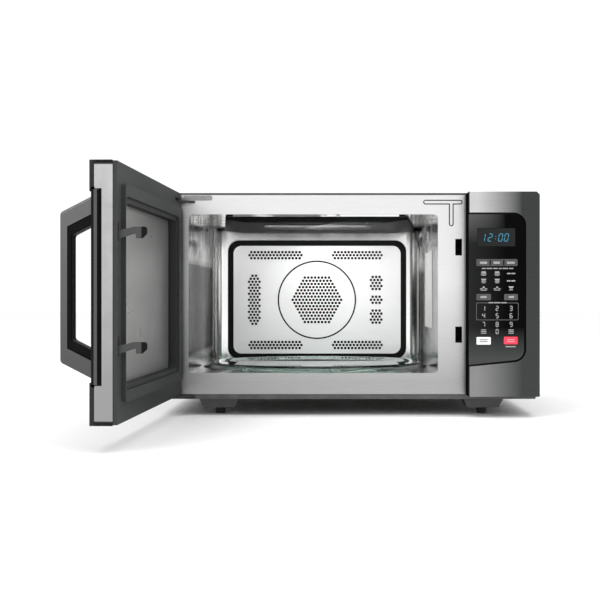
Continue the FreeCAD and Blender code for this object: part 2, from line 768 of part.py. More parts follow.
def convection_heater():
    """A sheathed element bent into an open ring, with its two cold ends going out to the rear."""
    radius = d.element_radius.number
    tube = d.element_tube.number
    x, y, z = d.fan_x.number, d.element_y.number, d.fan_z.number
    gap = math.asin(d.element_gap.number / radius)
    centre = FreeCAD.Vector(x, y, z)
    across = FreeCAD.Vector(0, 1, 0)
    up = math.pi / 2
    ring = Part.Circle(centre, -across, radius)
    start = ring.parameter(FreeCAD.Vector(x + radius * math.cos(up - gap), y, z + radius * math.sin(up - gap)))
    end = ring.parameter(FreeCAD.Vector(x - radius * math.sin(gap), y, z + radius * math.cos(gap)))
    arc = Part.ArcOfCircle(ring, end, start).toShape()
    if arc.Length < radius * math.pi:
        arc = Part.ArcOfCircle(ring, start, end).toShape()
    section = Part.Wire(Part.Circle(arc.Vertexes[0].Point, arc.tangentAt(arc.FirstParameter), tube).toShape())
    body = Part.Wire(arc).makePipeShell([section], True, True)
    legs = [
        Part.makeCylinder(tube, d.housing_back.number + 6 - y, FreeCAD.Vector(point.Point), across)
        for point in arc.Vertexes
    ]
    ends = [Part.makeSphere(tube, point.Point) for point in arc.Vertexes]
    place(computed("convection_heater", body.multiFuse(legs + ends).removeSplitter()))


def convection_fan():
    """Radial steel impeller on its shaft; drawn about its own Z axis, which lies along the oven's y."""
    piece = Piece("convection_fan")
    front, rear = d.fan_front, d.fan_rear
    piece.pad("z", rear - 1, rear, circle(0, 0, d.fan_tip))
    piece.pad("z", front, rear, circle(0, 0, d.fan_hub))
    piece.pad("z", front, d.fan_shaft_end, circle(0, 0, d.fan_shaft))
    blade = piece.pad(
        "z",
        front,
        rear,
        polygon((d.fan_hub - 1, -0.6), (d.fan_tip, -6), (d.fan_tip, -4.8), (d.fan_hub - 1, 0.6)),
    )
    piece.repeat_round(blade, d.fan_blades)
    place(piece.body, d.fan_x, 0, d.fan_z, (1, 0, 0), -90)


def convection_motor():
    half = d.fan_motor_half
    x, z = d.fan_x, d.fan_z
    front, rear = d.fan_motor_front, d.fan_motor_rear
    stack = block(x - half, x + half, front + 5, rear - 5, z - half, z + half)
    bell = rod("y", x, front, z, half - 6, rear - front)
    foot = block(x - half - 14, x + half + 14, d.housing_back, d.housing_back + 2, z - 8, z + 8)
    posts = [
        rod("y", x + side * (half - 4), d.housing_back, z, 3, front + 6 - d.housing_back)
        for side in (-1, 1)
    ]
    bore = rod("y", x, d.housing_back - PAST, z, d.fan_shaft + d.running_gap, 60)
    gap = rod("y", x, d.housing_back - PAST, z, 6, front - d.housing_back)
    place(cut("convection_motor", fuse("motor_body", stack, bell, foot, *posts), bore, gap))


# ---- grill -----------------------------------------------------------------------------------------


def guard_plan(sides, ends, gap=0):
    """The guard's outline in plan, drawn in by one distance at its sides and another at its ends."""
    middle = d.guard_mid
    front_half = d.guard_front_half - sides - gap
    rear_half = d.guard_rear_half - sides - gap
    front = d.guard_front + ends + gap
    rear = d.guard_rear - ends - gap
    return polygon(
        (middle - front_half, front), (middle + front_half, front),
        (middle + rear_half, rear), (middle - rear_half, rear),
    )


def grill_guard():
    """The dark pan under the grill heater: a flat bottom with slots, shallow slopes and a short rim."""
    piece = Piece("grill_guard")
    bottom, edge, top = d.guard_bottom, d.guard_edge, d.cavity_top
    wall = d.sheet
    slope, ends = d.guard_slope, d.guard_slope_ends
    rim = (edge, guard_plan(sized(0), sized(0)))
    piece.loft("z", (bottom, guard_plan(slope, ends)), rim)
    piece.pad("z", edge, top, guard_plan(sized(0), sized(0)))
    piece.pocket("z", edge, top + PAST, guard_plan(sized(0), sized(0), wall))
    hollow = guard_plan(sized(0), sized(0), wall)
    piece.loft("z", (bottom + wall, guard_plan(slope, ends, wall)), (edge + 0.01, hollow), cutting=True)
    middle = d.guard_mid
    first = d.guard_slot_first
    slot = piece.pocket(
        "z",
        bottom - PAST,
        bottom + wall + PAST,
        rectangle(
            middle - d.guard_slot_half, middle + d.guard_slot_half, first, first + d.guard_slot_wide
        ),
    )
    piece.repeat(slot, "Y", d.guard_slot_pitch, d.guard_slots)
    place(piece.body)


def guard_clips():
    """Two black clips at the ends of the mouth's hem."""
    made = []
    front = d.plate + 0.3
    for side in (-1, 1):
        x = d.guard_mid + side * d.tab_x
        made.append(
            block(x - d.tab_half, x + d.tab_half, front, front + d.tab_reach, d.tab_low, d.cavity_top)
        )
    place(group("guard_clips", made))


def grill_reflector():
    piece = Piece("grill_reflector")
    middle = d.guard_mid
    half = d.grill_half + d.sheet
    low = d.cavity_top + d.liner
    outer = rounded(middle - half, middle + half, d.grill_front - 1, d.grill_rear + 1, 12)
    inner = rounded(middle - half + 1, middle + half - 1, d.grill_front, d.grill_rear, 11)
    piece.pad("z", low, d.reflector_top, outer)
    piece.pocket("z", low - PAST, d.reflector_top - d.sheet, inner)
    place(piece.body)


def grill_heater():
    """A sheathed element of two long legs joined by a bend, lying under the reflector."""
    tube, leg, level = d.grill_tube.number, d.grill_leg.number, d.grill_level.number
    middle, centre = d.guard_mid.number, (d.grill_front.number + d.grill_rear.number) / 2
    reach = d.grill_half.number - leg - 18
    corners = [
        FreeCAD.Vector(middle - reach, centre - leg, level), FreeCAD.Vector(middle + reach, centre - leg, level),
        FreeCAD.Vector(middle + reach, centre + leg, level), FreeCAD.Vector(middle - reach, centre + leg, level),
    ]
    far = FreeCAD.Vector(middle + reach + leg, centre, level)
    path = Part.Wire([
        Part.LineSegment(corners[0], corners[1]).toShape(),
        Part.Arc(corners[1], far, corners[2]).toShape(),
        Part.LineSegment(corners[2], corners[3]).toShape(),
    ])
    section = Part.Wire(Part.Circle(corners[0], FreeCAD.Vector(1, 0, 0), tube).toShape())
    place(computed("grill_heater", path.makePipeShell([section], True, True)))


# ---- microwave source ------------------------------------------------------------------------------


def waveguide():
    piece = Piece("waveguide")
    wall = d.cavity_right + d.liner
    t = d.sheet
    piece.pad("x", wall, d.guide_face, rectangle(d.guide_front, d.guide_rear, d.guide_low, d.guide_high))
    inner = rectangle(d.guide_front + t, d.guide_rear - t, d.guide_low + t, d.guide_high - t)
    piece.pocket("x", wall - PAST, d.guide_face - t, inner)
    port = circle(d.tube_y, d.tube_z, d.antenna_radius + 2)
    piece.pocket("x", d.guide_face - t - PAST, d.guide_face + PAST, port)
    place(piece.body)


def waveguide_cover():
    piece = Piece("waveguide_cover")
    outline = rounded(d.guide_front, d.guide_rear, d.guide_low, d.guide_high, 4)
    piece.pad("x", d.cavity_right - d.mica, d.cavity_right, outline)
    place(piece.body)


def magnetron():
    piece = Piece("magnetron")
    y, z = d.tube_y, d.tube_z
    start, end, wall = d.guide_face, d.yoke_end, d.yoke_wall
    half_y, half_z = d.yoke_half_y, d.yoke_half_z
    piece.pad("x", start, end, rectangle(y - half_y, y + half_y, z - half_z, z + half_z))
    inside = rectangle(start + wall, end - wall, z - half_z + wall, z + half_z - wall)
    piece.pocket("y", y - half_y - PAST, y + half_y + PAST, inside)
    piece.pad("x", start + wall, end - wall, circle(y, z, d.anode_radius))
    fin = piece.pad(
        "x",
        start + 8,
        start + 8 + d.fin_thick,
        rectangle(y - half_y + 3, y + half_y - 3, z - half_z + wall, z + half_z - wall),
    )
    piece.repeat(fin, "X", d.fin_pitch, d.fin_count)
    reach = d.filter_half
    piece.pad("x", end, d.filter_end, rectangle(y - reach, y + reach, z - reach, z + reach))
    piece.pad("x", d.antenna_tip, start, circle(y, z, d.antenna_radius))
    place(piece.body)


# ---- power supply ----------------------------------------------------------------------------------


def transformer():
    floor = d.base_bottom + d.sheet
    left, right, front, rear = d.core_left, d.core_right, d.core_front, d.core_rear
    core = block(left, right, front, rear, floor + d.foot_plate, d.core_high)
    foot = block(left - 10, right + 10, front, rear, floor, floor + d.foot_plate)
    middle = (front + rear) / 2
    coils = []
    for low, high in ((floor + 14, floor + 36), (floor + 42, floor + 62)):
        coils.append(
            block(left + 16, right - 16, front - d.coil_out, rear + d.coil_out, low, high)
        )
    strap = block(left + 30, right - 30, middle - 12, middle + 12, d.core_high, d.core_high + 3)
    place(fuse("hv_transformer", core, foot, strap, *coils))


def capacitor():
    """An oval can lying along the bay, with two blade terminals."""
    x, z, r, flat = d.can_x, d.can_z, d.can_radius, d.can_flat
    long = d.can_rear - d.can_front
    left = rod("y", x - flat, d.can_front, z, r, long)
    right = rod("y", x + flat, d.can_front, z, r, long)
    middle = block(x - flat, x + flat, d.can_front, d.can_rear, z - r, z + r)
    blades = [
        block(x + side - 3, x + side + 3, d.can_front - 9, d.can_front, z - 0.4, z + 0.4)
        for side in (-10, 10)
    ]
    strap_foot = block(x - 6, x + 6, d.can_front + 30, d.can_front + 50, d.base_bottom + d.sheet, z - r + 1)
    place(fuse("hv_capacitor", left, right, middle, strap_foot, *blades))


def diode():
    x, y, z = d.diode_x, d.diode_y, d.diode_z
    body = rod("y", x, y, z, 4, 18)
    leads = rod("y", x, y - 12, z, 0.8, 42)
    eye = rod("x", x - 0.8, y + 30, z, 4, 1.6)
    place(fuse("hv_diode", body, leads, eye))


def filter_board():
    level = d.filter_board_z
    top = level + d.board_thick
    left, right = d.filter_board_left, d.filter_board_right
    front, rear = d.filter_board_front, d.filter_board_rear
    board = block(left, right, front, rear, level, top)
    choke = rod("z", left + 30, front + 35, top, 14, 14)
    film = block(right - 40, right - 12, front + 12, front + 34, top, top + 18)
    relay = block(right - 42, right - 14, front + 50, front + 66, top, top + 16)
    fuse_glass = rod("x", left + 20, rear - 18, top + 6, 3, 24)
    clips = [
        block(left + at, left + at + 5, rear - 22, rear - 14, top, top + 10) for at in (17, 42)
    ]
    posts = [
        rod("z", x, y, d.duct_high, 3, level - d.duct_high)
        for x in (left + 8, right - 8)
        for y in (front + 6, rear - 6)
    ]
    place(fuse("noise_filter_board", board, choke, film, relay, fuse_glass, *clips, *posts))


# ---- cooling ---------------------------------------------------------------------------------------


def air_duct():
    """The moulded duct that carries the cooling air forward, with the fan's shroud at its rear."""
    piece = Piece("air_duct")
    wall = 1.5
    outer = rectangle(d.duct_left, d.duct_right, d.duct_low, d.duct_high)
    inner = rectangle(d.duct_left + wall, d.duct_right - wall, d.duct_low + wall, d.duct_high - wall)
    front, rear = d.shroud_front, d.shroud_rear
    piece.pad("y", d.duct_front, rear, outer)
    piece.pocket("y", d.duct_front - PAST, front, inner)
    piece.pocket("y", front - PAST, rear + PAST, circle(d.blower_x, d.blower_z, d.blower_bore))
    place(piece.body)


def cooling_fan():
    """Five-bladed plastic fan on its shaft; drawn about its own Z axis."""
    piece = Piece("cooling_fan")
    front, rear = d.blower_front, d.blower_back
    piece.pad("z", front, rear, circle(0, 0, d.blower_hub))
    piece.pad("z", front, d.blower_shaft_end, circle(0, 0, d.blower_shaft))
    blade = piece.pad(
        "x",
        d.blower_hub - 2,
        d.blower_tip - 1,
        polygon((-9, front), (-7, front), (9, rear), (7, rear)),
    )
    piece.repeat_round(blade, d.blower_blades)
    place(piece.body, d.blower_x, 0, d.blower_z, (1, 0, 0), -90)


def cooling_motor():
    half = d.blower_motor_half
    x, z = d.blower_x, d.blower_z
    front = d.blower_motor_front
    stack = block(x - half, x + half, front, front + 12, z - half, z + half)
    bell = rod("y", x, front - 3, z, 10, 18)
    arms = [
        block(x - 56, x + 56, d.shroud_rear, front, z + up - 4, z + up + 4) for up in (-16, 16)
    ]
    bore = rod("y", x, front - 10, z, d.blower_shaft + d.running_gap, 40)
    place(cut("cooling_motor", fuse("cooling_motor_body", stack, bell, *arms), bore))


# ---- lamp and cut-outs -----------------------------------------------------------------------------


def cavity_lamp():
    wall = d.cavity_right + d.liner
    cap = block(wall, wall + 22, sized(48), sized(76), sized(252), sized(286))
    hollow = block(wall - 1, wall + 20.5, sized(49.5), sized(74.5), sized(253.5), sized(284.5))
    place(cut("lamp_housing", cap, hollow))
    bulb = rod("z", wall + 10, 62, 262, 8, 14)
    tip = doc.addObject("Part::Sphere", "tip")
    bind(tip, "Radius", 8)
    bind(tip, "Placement.Base.x", wall + 10)
    bind(tip, "Placement.Base.y", 62)
    bind(tip, "Placement.Base.z", 262)
    socket = rod("z", wall + 10, 62, 276, 6, 8.5)
    place(fuse("cavity_lamp", bulb, tip, socket))


def thermal_cutouts():
    made = []
    for x, y, z in (
        (d.cavity_mid - 150, d.cavity_back - 60, d.cavity_top + d.liner),
        (d.cavity_mid - 150, sized(60), d.cavity_top + d.liner),
    ):
        disc = rod("z", x, y, z, 8.5, 5)
        flange = block(x - 15, x + 15, y - 6, y + 6, z, z + 1)
        blades = [block(x + side - 3, x + side + 3, y - 0.4, y + 0.4, z + 5, z + 13) for side in (-5, 5)]
        made.append(fuse("cutout", disc, flange, *blades))
    place(group("thermal_cutouts", made))


# ---- turntable -------------------------------------------------------------------------------------


def glass_tray():
    piece = Piece("glass_tray")
    low, flat, edge = d.tray_low, d.tray_flat, d.tray_radius
    piece.revolve(
        polygon(
            (0, low), (flat, low), (edge - 10, d.rim_low), (edge, d.rim_low + 1),
            (edge, d.rim_high - 0.8), (edge - 1, d.rim_high), (d.rim_inner, d.rim_high),
            (flat, low + d.tray_glass), (0, low + d.tray_glass),
        )
    )
    place(piece.body, d.cavity_mid, d.table_y)


def turntable_coupler():
    piece = Piece("turntable_coupler")
    piece.pad("z", d.hub_low, d.tray_low, circle(0, 0, d.hub_radius))
    piece.pad("z", d.table_motor_low + 3, d.hub_low, circle(0, 0, d.drive_shaft))
    lobe = piece.pad(
        "z",
        d.tray_low - 6,
        d.tray_low,
        rounded(d.hub_radius - 4, d.lobe_long, -d.lobe_half, d.lobe_half, 3),
    )
    piece.repeat_round(lobe, Size(3))
    place(piece.body, d.cavity_mid, d.table_y)


def turntable_motor():
    x, y = d.cavity_mid, d.table_y
    low, high = d.table_motor_low, d.pan_floor - d.liner
    can = rod("z", x, y, low, d.table_motor_radius, high - low - 1)
    ears = block(x - 32, x + 32, y - 6, y + 6, high - 1, high)
    neck = rod("z", x, y, high - 2, 7, 2)
    bore = rod("z", x, y, low + 2, d.drive_shaft + d.running_gap, 30)
    place(cut("turntable_motor", fuse("turntable_motor_body", can, ears, neck), bore))


def axle_level():
    return d.pan_floor + d.roller_gap + d.roller_radius


def roller_ring():
    piece = Piece("roller_ring")
    piece.pad(
        "z", d.ring_low, d.ring_high, circle(0, 0, d.ring_outer), circle(0, 0, d.ring_inner)
    )
    level = axle_level()
    end = d.roller_orbit + d.roller_wide / 2 + 2
    axle = piece.pad("x", d.ring_outer - 2, end, circle(0, level, d.axle_radius))
    piece.repeat_round(axle, Size(3))
    place(piece.body, d.cavity_mid, d.table_y, 0, (0, 0, 1), d.roller_angle)


def roller(number):
    """A crowned wheel; its own Z axis lies along the axle, away from the turntable's centre."""
    piece = Piece(f"roller_{number}")
    radius, half = d.roller_radius, d.roller_wide / 2
    piece.revolve(
        polygon(
            (d.roller_bore, -half), (radius - 1.2, -half), (radius, -half + 1.2),
            (radius, half - 1.2), (radius - 1.2, half), (d.roller_bore, half),
        )
    )
    angle = math.radians(d.roller_angle.number + 120 * (number - 1))
    outward = FreeCAD.Vector(math.cos(angle), math.sin(angle), 0)
    turn = FreeCAD.Rotation(FreeCAD.Vector(0, 0, 1), outward)
    direction = f"({d.roller_angle.text} + {120 * (number - 1)}) * 1deg"
    body = piece.body
    body.Placement = FreeCAD.Placement(FreeCAD.Vector(), turn)
    body.setExpression(
        "Placement.Base.x", f"{(d.row_x + d.cavity_mid).text} + {d.roller_orbit.text} * cos({direction})"
    )
    body.setExpression(
        "Placement.Base.y", f"{(d.row_y + d.table_y).text} + {d.roller_orbit.text} * sin({direction})"
    )
    bind(body, "Placement.Base.z", axle_level())
    pieces.append(body)


# ---- control panel ---------------------------------------------------------------------------------


def insert_corners(gap):
    """Corners of the black insert, from its lower left one on: its foot rises to the right."""
    left, right = d.panel_left + gap / 4, d.insert_right - gap
    low, high = d.insert_low + gap, d.insert_high - gap
    return [(left, low), (right, d.insert_low_right + gap), (right, high), (left, high)]


def panel_frame():
    piece = Piece("panel_frame")
    left, right, low, high = d.panel_left, d.panel_right, d.panel_low, d.panel_high
    face, wall = d.panel_face, d.panel_wall
    piece.pad("y", face, sized(0), rectangle(left, right, low, high))
    piece.soften(d.panel_chamfer, "y", (right, high), kind="Chamfer")
    inside = rectangle(left + wall, right - wall, low + wall, high - wall - 2)
    piece.pocket("y", face + d.recess_deep + 2, sized(PAST), inside)
    recess = insert_corners(sized(0))
    piece.pocket("y", face - PAST, face + d.recess_deep, polygon(*recess))
    piece.soften(d.insert_radius, "y", recess[1], recess[2])
    piece.pocket(
        "y",
        face,
        face + d.recess_deep + 3,
        rectangle(d.display_left + 2, d.display_right - 2, d.display_low + 2, d.display_high - 2),
        rectangle(d.keypad_left + 20, d.keypad_right - 20, d.keypad_low + 2, d.keypad_low + 12),
    )
    place(piece.body)


def panel_insert():
    piece = Piece("panel_insert")
    face = d.panel_face
    corners = insert_corners(d.insert_gap)
    piece.pad("y", face, face + d.insert_thick, polygon(*corners))
    piece.soften(d.insert_radius - d.insert_gap, "y", corners[1], corners[2])
    window = rectangle(d.display_left, d.display_right, d.display_low, d.display_high)
    piece.pocket("y", face - PAST, face + d.insert_thick + PAST, window)
    place(piece.body)


def display_window():
    piece = Piece("display_window")
    face = d.panel_face
    gap = 0.2
    outline = rectangle(
        d.display_left + gap, d.display_right - gap, d.display_low + gap, d.display_high - gap
    )
    piece.pad("y", face + 0.2, face + d.insert_thick, outline)
    place(piece.body)


def keypad_membrane():
    piece = Piece("keypad_membrane")
    back = d.panel_face + d.recess_deep
    sheet = rectangle(d.keypad_left, d.keypad_right, d.keypad_low, d.keypad_high)
    piece.pad("y", back - 0.5, back, sheet)
    tail = rectangle(d.keypad_left + 22, d.keypad_right - 22, d.keypad_low + 4, d.keypad_low + 10)
    piece.pad("y", back, d.board_y, tail)
    place(piece.body)


def control_board():
    """The circuit board with its relays, transformer and capacitors behind, and its display in front."""
    back = d.board_y + d.board_thick
    board = block(d.board_left, d.board_right, d.board_y, back, d.board_low, d.board_high)
    display = block(
        d.display_left + 3, d.display_right - 3, d.panel_face + d.recess_deep, d.board_y,
        d.display_low + 3, d.display_high - 3,
    )
    parts = [board, display]
    for x, z, wide, tall, deep in (
        (190, 60, 34, 30, 26), (230, 62, 28, 22, 18), (190, 110, 20, 28, 16), (214, 110, 20, 28, 16),
        (240, 108, 22, 22, 8), (192, 160, 40, 12, 6), (236, 190, 18, 18, 12), (192, 200, 24, 24, 4),
    ):
        parts.append(block(sized(x), sized(x + wide), back, back + deep, sized(z), sized(z + tall)))
    for z in (150, 185, 230):
        parts.append(rod("y", 258, back, z, 5, 14))
    place(fuse("control_board", *parts))


# ---- door ------------------------------------------------------------------------------------------


def notch_level():
    """Where the gap is that the upper hinge arm swings through."""
    return d.arm_low - d.notch_gap, d.arm_low + d.arm_thick + d.notch_gap


def cut_notch(piece):
    outline = rectangle(d.door_hinge_side - PAST, d.notch_right, d.notch_inner, d.choke_face + PAST)
    piece.pocket("z", *notch_level(), outline)


def door_skin():
    """The dark tray that wraps the door's outside, its top, its foot and its hinge side."""
    piece = Piece("door_skin")
    face, lip = d.door_outer - d.skin_proud, d.lip
    left, right, foot, top = d.door_hinge_side, d.door_free_edge, d.door_low, d.door_high
    piece.pad("y", face, d.frame_back, rectangle(left, right, foot, top))
    inside = rectangle(left + lip, right + PAST, foot + lip, top - lip)
    piece.pocket("y", d.door_outer + d.skin, d.frame_back + PAST, inside)
    middle = d.door_outer - 0.1
    for inset, near, far in ((d.overlap, face - PAST, middle), (sized(0), middle, d.door_outer + d.skin + PAST)):
        edge, low, high = d.glass_left + inset, d.insert_low + inset, d.insert_high - inset
        piece.pocket("y", near, far, rectangle(edge, right + PAST, low, high))
        piece.soften(d.insert_radius - inset, "y", (edge, low), (edge, high))
    piece.pocket("z", foot - PAST, foot + lip + PAST, circle(0, 0, d.pin_radius + 0.1))
    cut_notch(piece)
    place_on_door(piece.body)


def door_glass():
    """The black glass of the door: round at the hinge side, square where it meets the panel."""
    piece = Piece("door_glass")
    outer, gap = d.door_outer, d.insert_gap
    left, right = d.glass_left + gap, d.door_free_edge
    low, high = d.insert_low + gap, d.insert_high - gap
    piece.pad("y", outer, outer + d.glass_thick, rectangle(left, right, low, high))
    piece.soften(d.insert_radius - gap, "y", (left, low), (left, high))
    lip = rectangle(right - d.return_wide, right, low, high)
    piece.pad("y", outer + d.glass_thick, d.glass_return, lip)
    piece.pocket("y", outer - PAST, outer + d.glass_thick + PAST, *handle_screw_holes(0.4))
    place_on_door(piece.body)


def handle_screw_places():
    x = (d.handle_left + d.handle_right) / 2
    reach = d.handle_root - d.screw_drop
    return [(x, d.handle_mid - reach), (x, d.handle_mid + reach)]


def handle_screw_holes(gap):
    return [circle(x, z, d.screw_radius + gap) for x, z in handle_screw_places()]


def door_frame():
    """The moulded carrier that everything else in the door is fixed to."""
    piece = Piece("door_frame")
    front = d.door_outer + d.skin
    seat = d.door_outer + d.glass_thick
    wall, back = d.frame_wall, d.frame_back
    edge = d.lip + 0.1
    left, right = d.door_hinge_side + edge, d.door_free_edge
    low, high = d.door_low + edge, d.door_high - edge
    piece.pad("y", front, back, rectangle(left, right, low, high))
    inside = rectangle(left + wall, right - wall, low + wall, high - wall)
    piece.pocket("y", seat + wall, back + PAST, inside)
    recess = rectangle(d.glass_left - 1, right + PAST, d.insert_low - 1, d.insert_high + 1)
    piece.pocket("y", front - PAST, seat, recess)
    lip_room = rectangle(
        right - d.return_wide - 0.4, right + PAST, d.insert_low + 1.5, d.insert_high - 1.5
    )
    piece.pocket("y", seat - PAST, d.glass_return + 0.2, lip_room)
    window = rectangle(d.window_left + 4, d.window_right - 4, d.window_low + 4, d.window_high - 4)
    piece.pocket("y", seat - PAST, seat + wall + PAST, window)
    piece.pocket("y", seat - PAST, seat + wall + PAST, *handle_screw_holes(0.4))
    half, hold = d.boss_half, d.pin_hold
    gap_low, gap_high = notch_level()
    boss = rectangle(-half, half, seat + wall, back - 1)
    piece.pad("z", gap_low - hold - 2, gap_low, boss)
    piece.pad("z", gap_high, high - PAST, boss)
    piece.pad("z", low, low + d.foot_boss + 2, boss)
    pin = circle(0, 0, d.pin_radius)
    piece.pocket("z", gap_low - hold, gap_high + hold, pin)
    piece.pocket("z", low - PAST, low + d.foot_boss, pin)
    ledge = d.latch_high + d.spring_long
    shelf = rectangle(right - wall - 15, right - wall, d.glass_return + 0.5, back)
    piece.pad("z", ledge, ledge + 2, shelf)
    middle = (d.hook_left + d.hook_right) / 2
    reach = d.bar_thick / 2 + d.guide_gap
    rails = (
        rectangle(middle - reach - 2, middle - reach, seat + wall, d.frame_back),
        rectangle(middle + reach, right - wall, d.hook_foot - 7, d.frame_back),
    )
    for rail in rails:
        piece.pad("z", d.latch_low + 30, d.latch_high - 30, rail)
    cut_notch(piece)
    place_on_door(piece.body)


def hinge_pins():
    gap_low, gap_high = notch_level()
    hold, foot = d.pin_hold, d.door_low + d.lip + 0.1
    upper = rod("z", 0, 0, gap_low - hold, d.pin_radius, gap_high - gap_low + hold * 2)
    lower = rod("z", 0, 0, d.foot_arm_low, d.pin_radius, foot + d.foot_boss - d.foot_arm_low)
    place_on_door(group("hinge_pins", [upper, lower]))


def door_liner():
    """The dark cover on the cavity side, with the raised frame that covers the choke."""
    piece = Piece("door_liner")
    opening = rounded(d.window_left, d.window_right, d.window_low, d.window_high, 6)
    collar = rounded(d.window_left - 3, d.window_right + 3, d.window_low - 3, d.window_high + 3, 9)
    piece.pad("y", d.window_level, d.frame_back, collar)
    border = rectangle(d.liner_edge, d.door_free_edge - 1, d.door_low + 1, d.door_high - 1)
    piece.pad("y", d.frame_back, d.door_inner, border)
    raised = rounded(d.choke_left, d.choke_right, d.choke_low, d.choke_high, d.choke_radius)
    piece.pad("y", d.door_inner, d.choke_face, raised)
    piece.pocket("y", d.window_level - PAST, d.choke_face + PAST, opening)
    wide = d.step_wide
    left, low, high = d.window_left - wide, d.window_low - wide, d.window_high + wide
    step = rounded(left, d.window_right + wide / 3, low, high, sized(7))
    piece.pocket("y", d.step_level, d.choke_face + PAST, step)
    for step in (sized(0), d.hook_step):
        slot = rectangle(
            d.hook_left - 1, d.hook_right + 1, d.hook_root_low + step - 2, d.hook_top + step + 6
        )
        piece.pocket("y", d.frame_back - PAST, d.door_inner + PAST, slot)
    cut_notch(piece)
    place_on_door(piece.body)


def door_screen():
    piece = Piece("door_screen")
    face = d.window_level - d.window_thick
    margin = d.screen_margin
    outline = rectangle(
        d.window_left - margin, d.window_right + margin, d.window_low - margin, d.window_high + margin
    )
    piece.pad("y", face - 1, face, outline)
    place_on_door(piece.body)


def door_window():
    piece = Piece("door_window")
    outline = rounded(d.window_left - 3, d.window_right + 3, d.window_low - 3, d.window_high + 3, 9)
    piece.pad("y", d.window_level - d.window_thick, d.window_level, outline)
    place_on_door(piece.body)


def handle_profile(outer_half, outer_y, inner_half, inner_y):
    """A trapezium arch standing on the door: half lengths at the door and depths of its two faces."""
    root = d.door_outer
    slope = (d.handle_root - d.handle_grip) / d.handle_out
    middle = d.handle_mid
    outer_grip = outer_half - slope * (root - outer_y)
    inner_grip = inner_half - slope * (root - inner_y)
    return polygon(
        (root, middle - outer_half), (outer_y, middle - outer_grip), (outer_y, middle + outer_grip),
        (root, middle + outer_half), (root, middle + inner_half), (inner_y, middle + inner_grip),
        (inner_y, middle - inner_grip), (root, middle - inner_half),
    )


def handle_shell():
    piece = Piece("handle_shell")
    face = d.door_outer - d.handle_out
    inner_half = d.handle_root - d.shell_root
    profile = handle_profile(d.handle_root, face, inner_half, face + d.shell_thick)
    piece.pad("x", d.handle_left, d.handle_right, profile)
    grip, middle = d.handle_grip, d.handle_mid
    piece.soften(d.handle_corner, "x", (face, middle - grip), (face, middle + grip))
    piece.soften(sized(2.5), "z", (d.handle_left, face), (d.handle_right, face))
    piece.pocket("y", d.door_outer - 8, d.door_outer + PAST, *handle_screw_holes(0))
    place_on_door(piece.body)


def handle_insert():
    piece = Piece("handle_insert")
    face = d.door_outer - d.handle_out + d.shell_thick
    back = d.door_outer - d.handle_out + d.grip_thick
    outer_half = d.handle_root - d.shell_root
    inner_half = outer_half - d.insert_root
    profile = handle_profile(outer_half, face, inner_half, back)
    piece.pad("x", d.handle_left + 1, d.handle_right - 1, profile)
    slope = (d.handle_root - d.handle_grip) / d.handle_out
    grip = inner_half - slope * (d.door_outer - back)
    middle = d.handle_mid
    piece.soften(d.handle_corner, "x", (back, middle - grip), (back, middle + grip))
    place_on_door(piece.body)


def handle_screws():
    made = []
    seat = d.door_outer + d.glass_thick + d.frame_wall
    for x, z in handle_screw_places():
        head = rod("y", x, seat, z, d.screw_head, 2.5)
        shank = rod("y", x, d.door_outer - 7, z, d.screw_radius, seat - d.door_outer + 7)
        made.append(fuse("handle_screw", head, shank))
    place_on_door(group("handle_screws", made))


# ---- latch -----------------------------------------------------------------------------------------


def latch_hooks():
    """One moulding: a bar that slides up and down in the door and two hooks that reach the cabinet."""
    piece = Piece("latch_hooks")
    middle = (d.hook_left + d.hook_right) / 2
    half = d.bar_thick / 2
    foot = d.hook_foot
    bar = rectangle(foot - 7, foot, d.latch_low, d.latch_high)
    piece.pad("x", middle - half, middle + half, bar)
    reach, barb = d.hook_reach, d.barb_front
    for step in (sized(0), d.hook_step):
        hook = polygon(
            (foot - 1, d.hook_root_low + step), (d.door_inner, d.hook_root_low + step),
            (barb, d.hook_arm + step), (barb, d.hook_bottom + step),
            (reach - 5, d.hook_bottom + step), (reach, d.hook_bottom + step + 5),
            (reach, d.hook_top + step - 2), (reach - 2, d.hook_top + step),
            (barb - 2, d.hook_top + step), (d.door_inner, d.hook_root_high + step),
            (foot - 1, d.hook_root_high + step),
        )
        piece.pad("x", d.hook_left, d.hook_right, hook)
    place_on_door(piece.body)


def latch_spring():
    """A coil spring that holds the latch down, between the bar and the top of the door."""
    radius, wire = d.spring_radius.number, d.spring_wire.number
    long, turns = d.spring_long.number, d.spring_turns.number
    low = d.latch_high.number + wire
    helix = Part.makeHelix((long - 2 * wire) / turns, long - 2 * wire, radius)
    section = Part.Wire(
        Part.Circle(FreeCAD.Vector(radius, 0, 0), FreeCAD.Vector(0, 1, 0), wire).toShape()
    )
    coil = Part.Wire(helix.Edges).makePipeShell([section], True, True)
    x = (d.hook_left.number + d.hook_right.number) / 2
    move = FreeCAD.Matrix()
    move.move(FreeCAD.Vector(x, d.hook_foot.number - 3.5, low))
    place_on_door(computed("latch_spring", coil.transformed(move, True)))


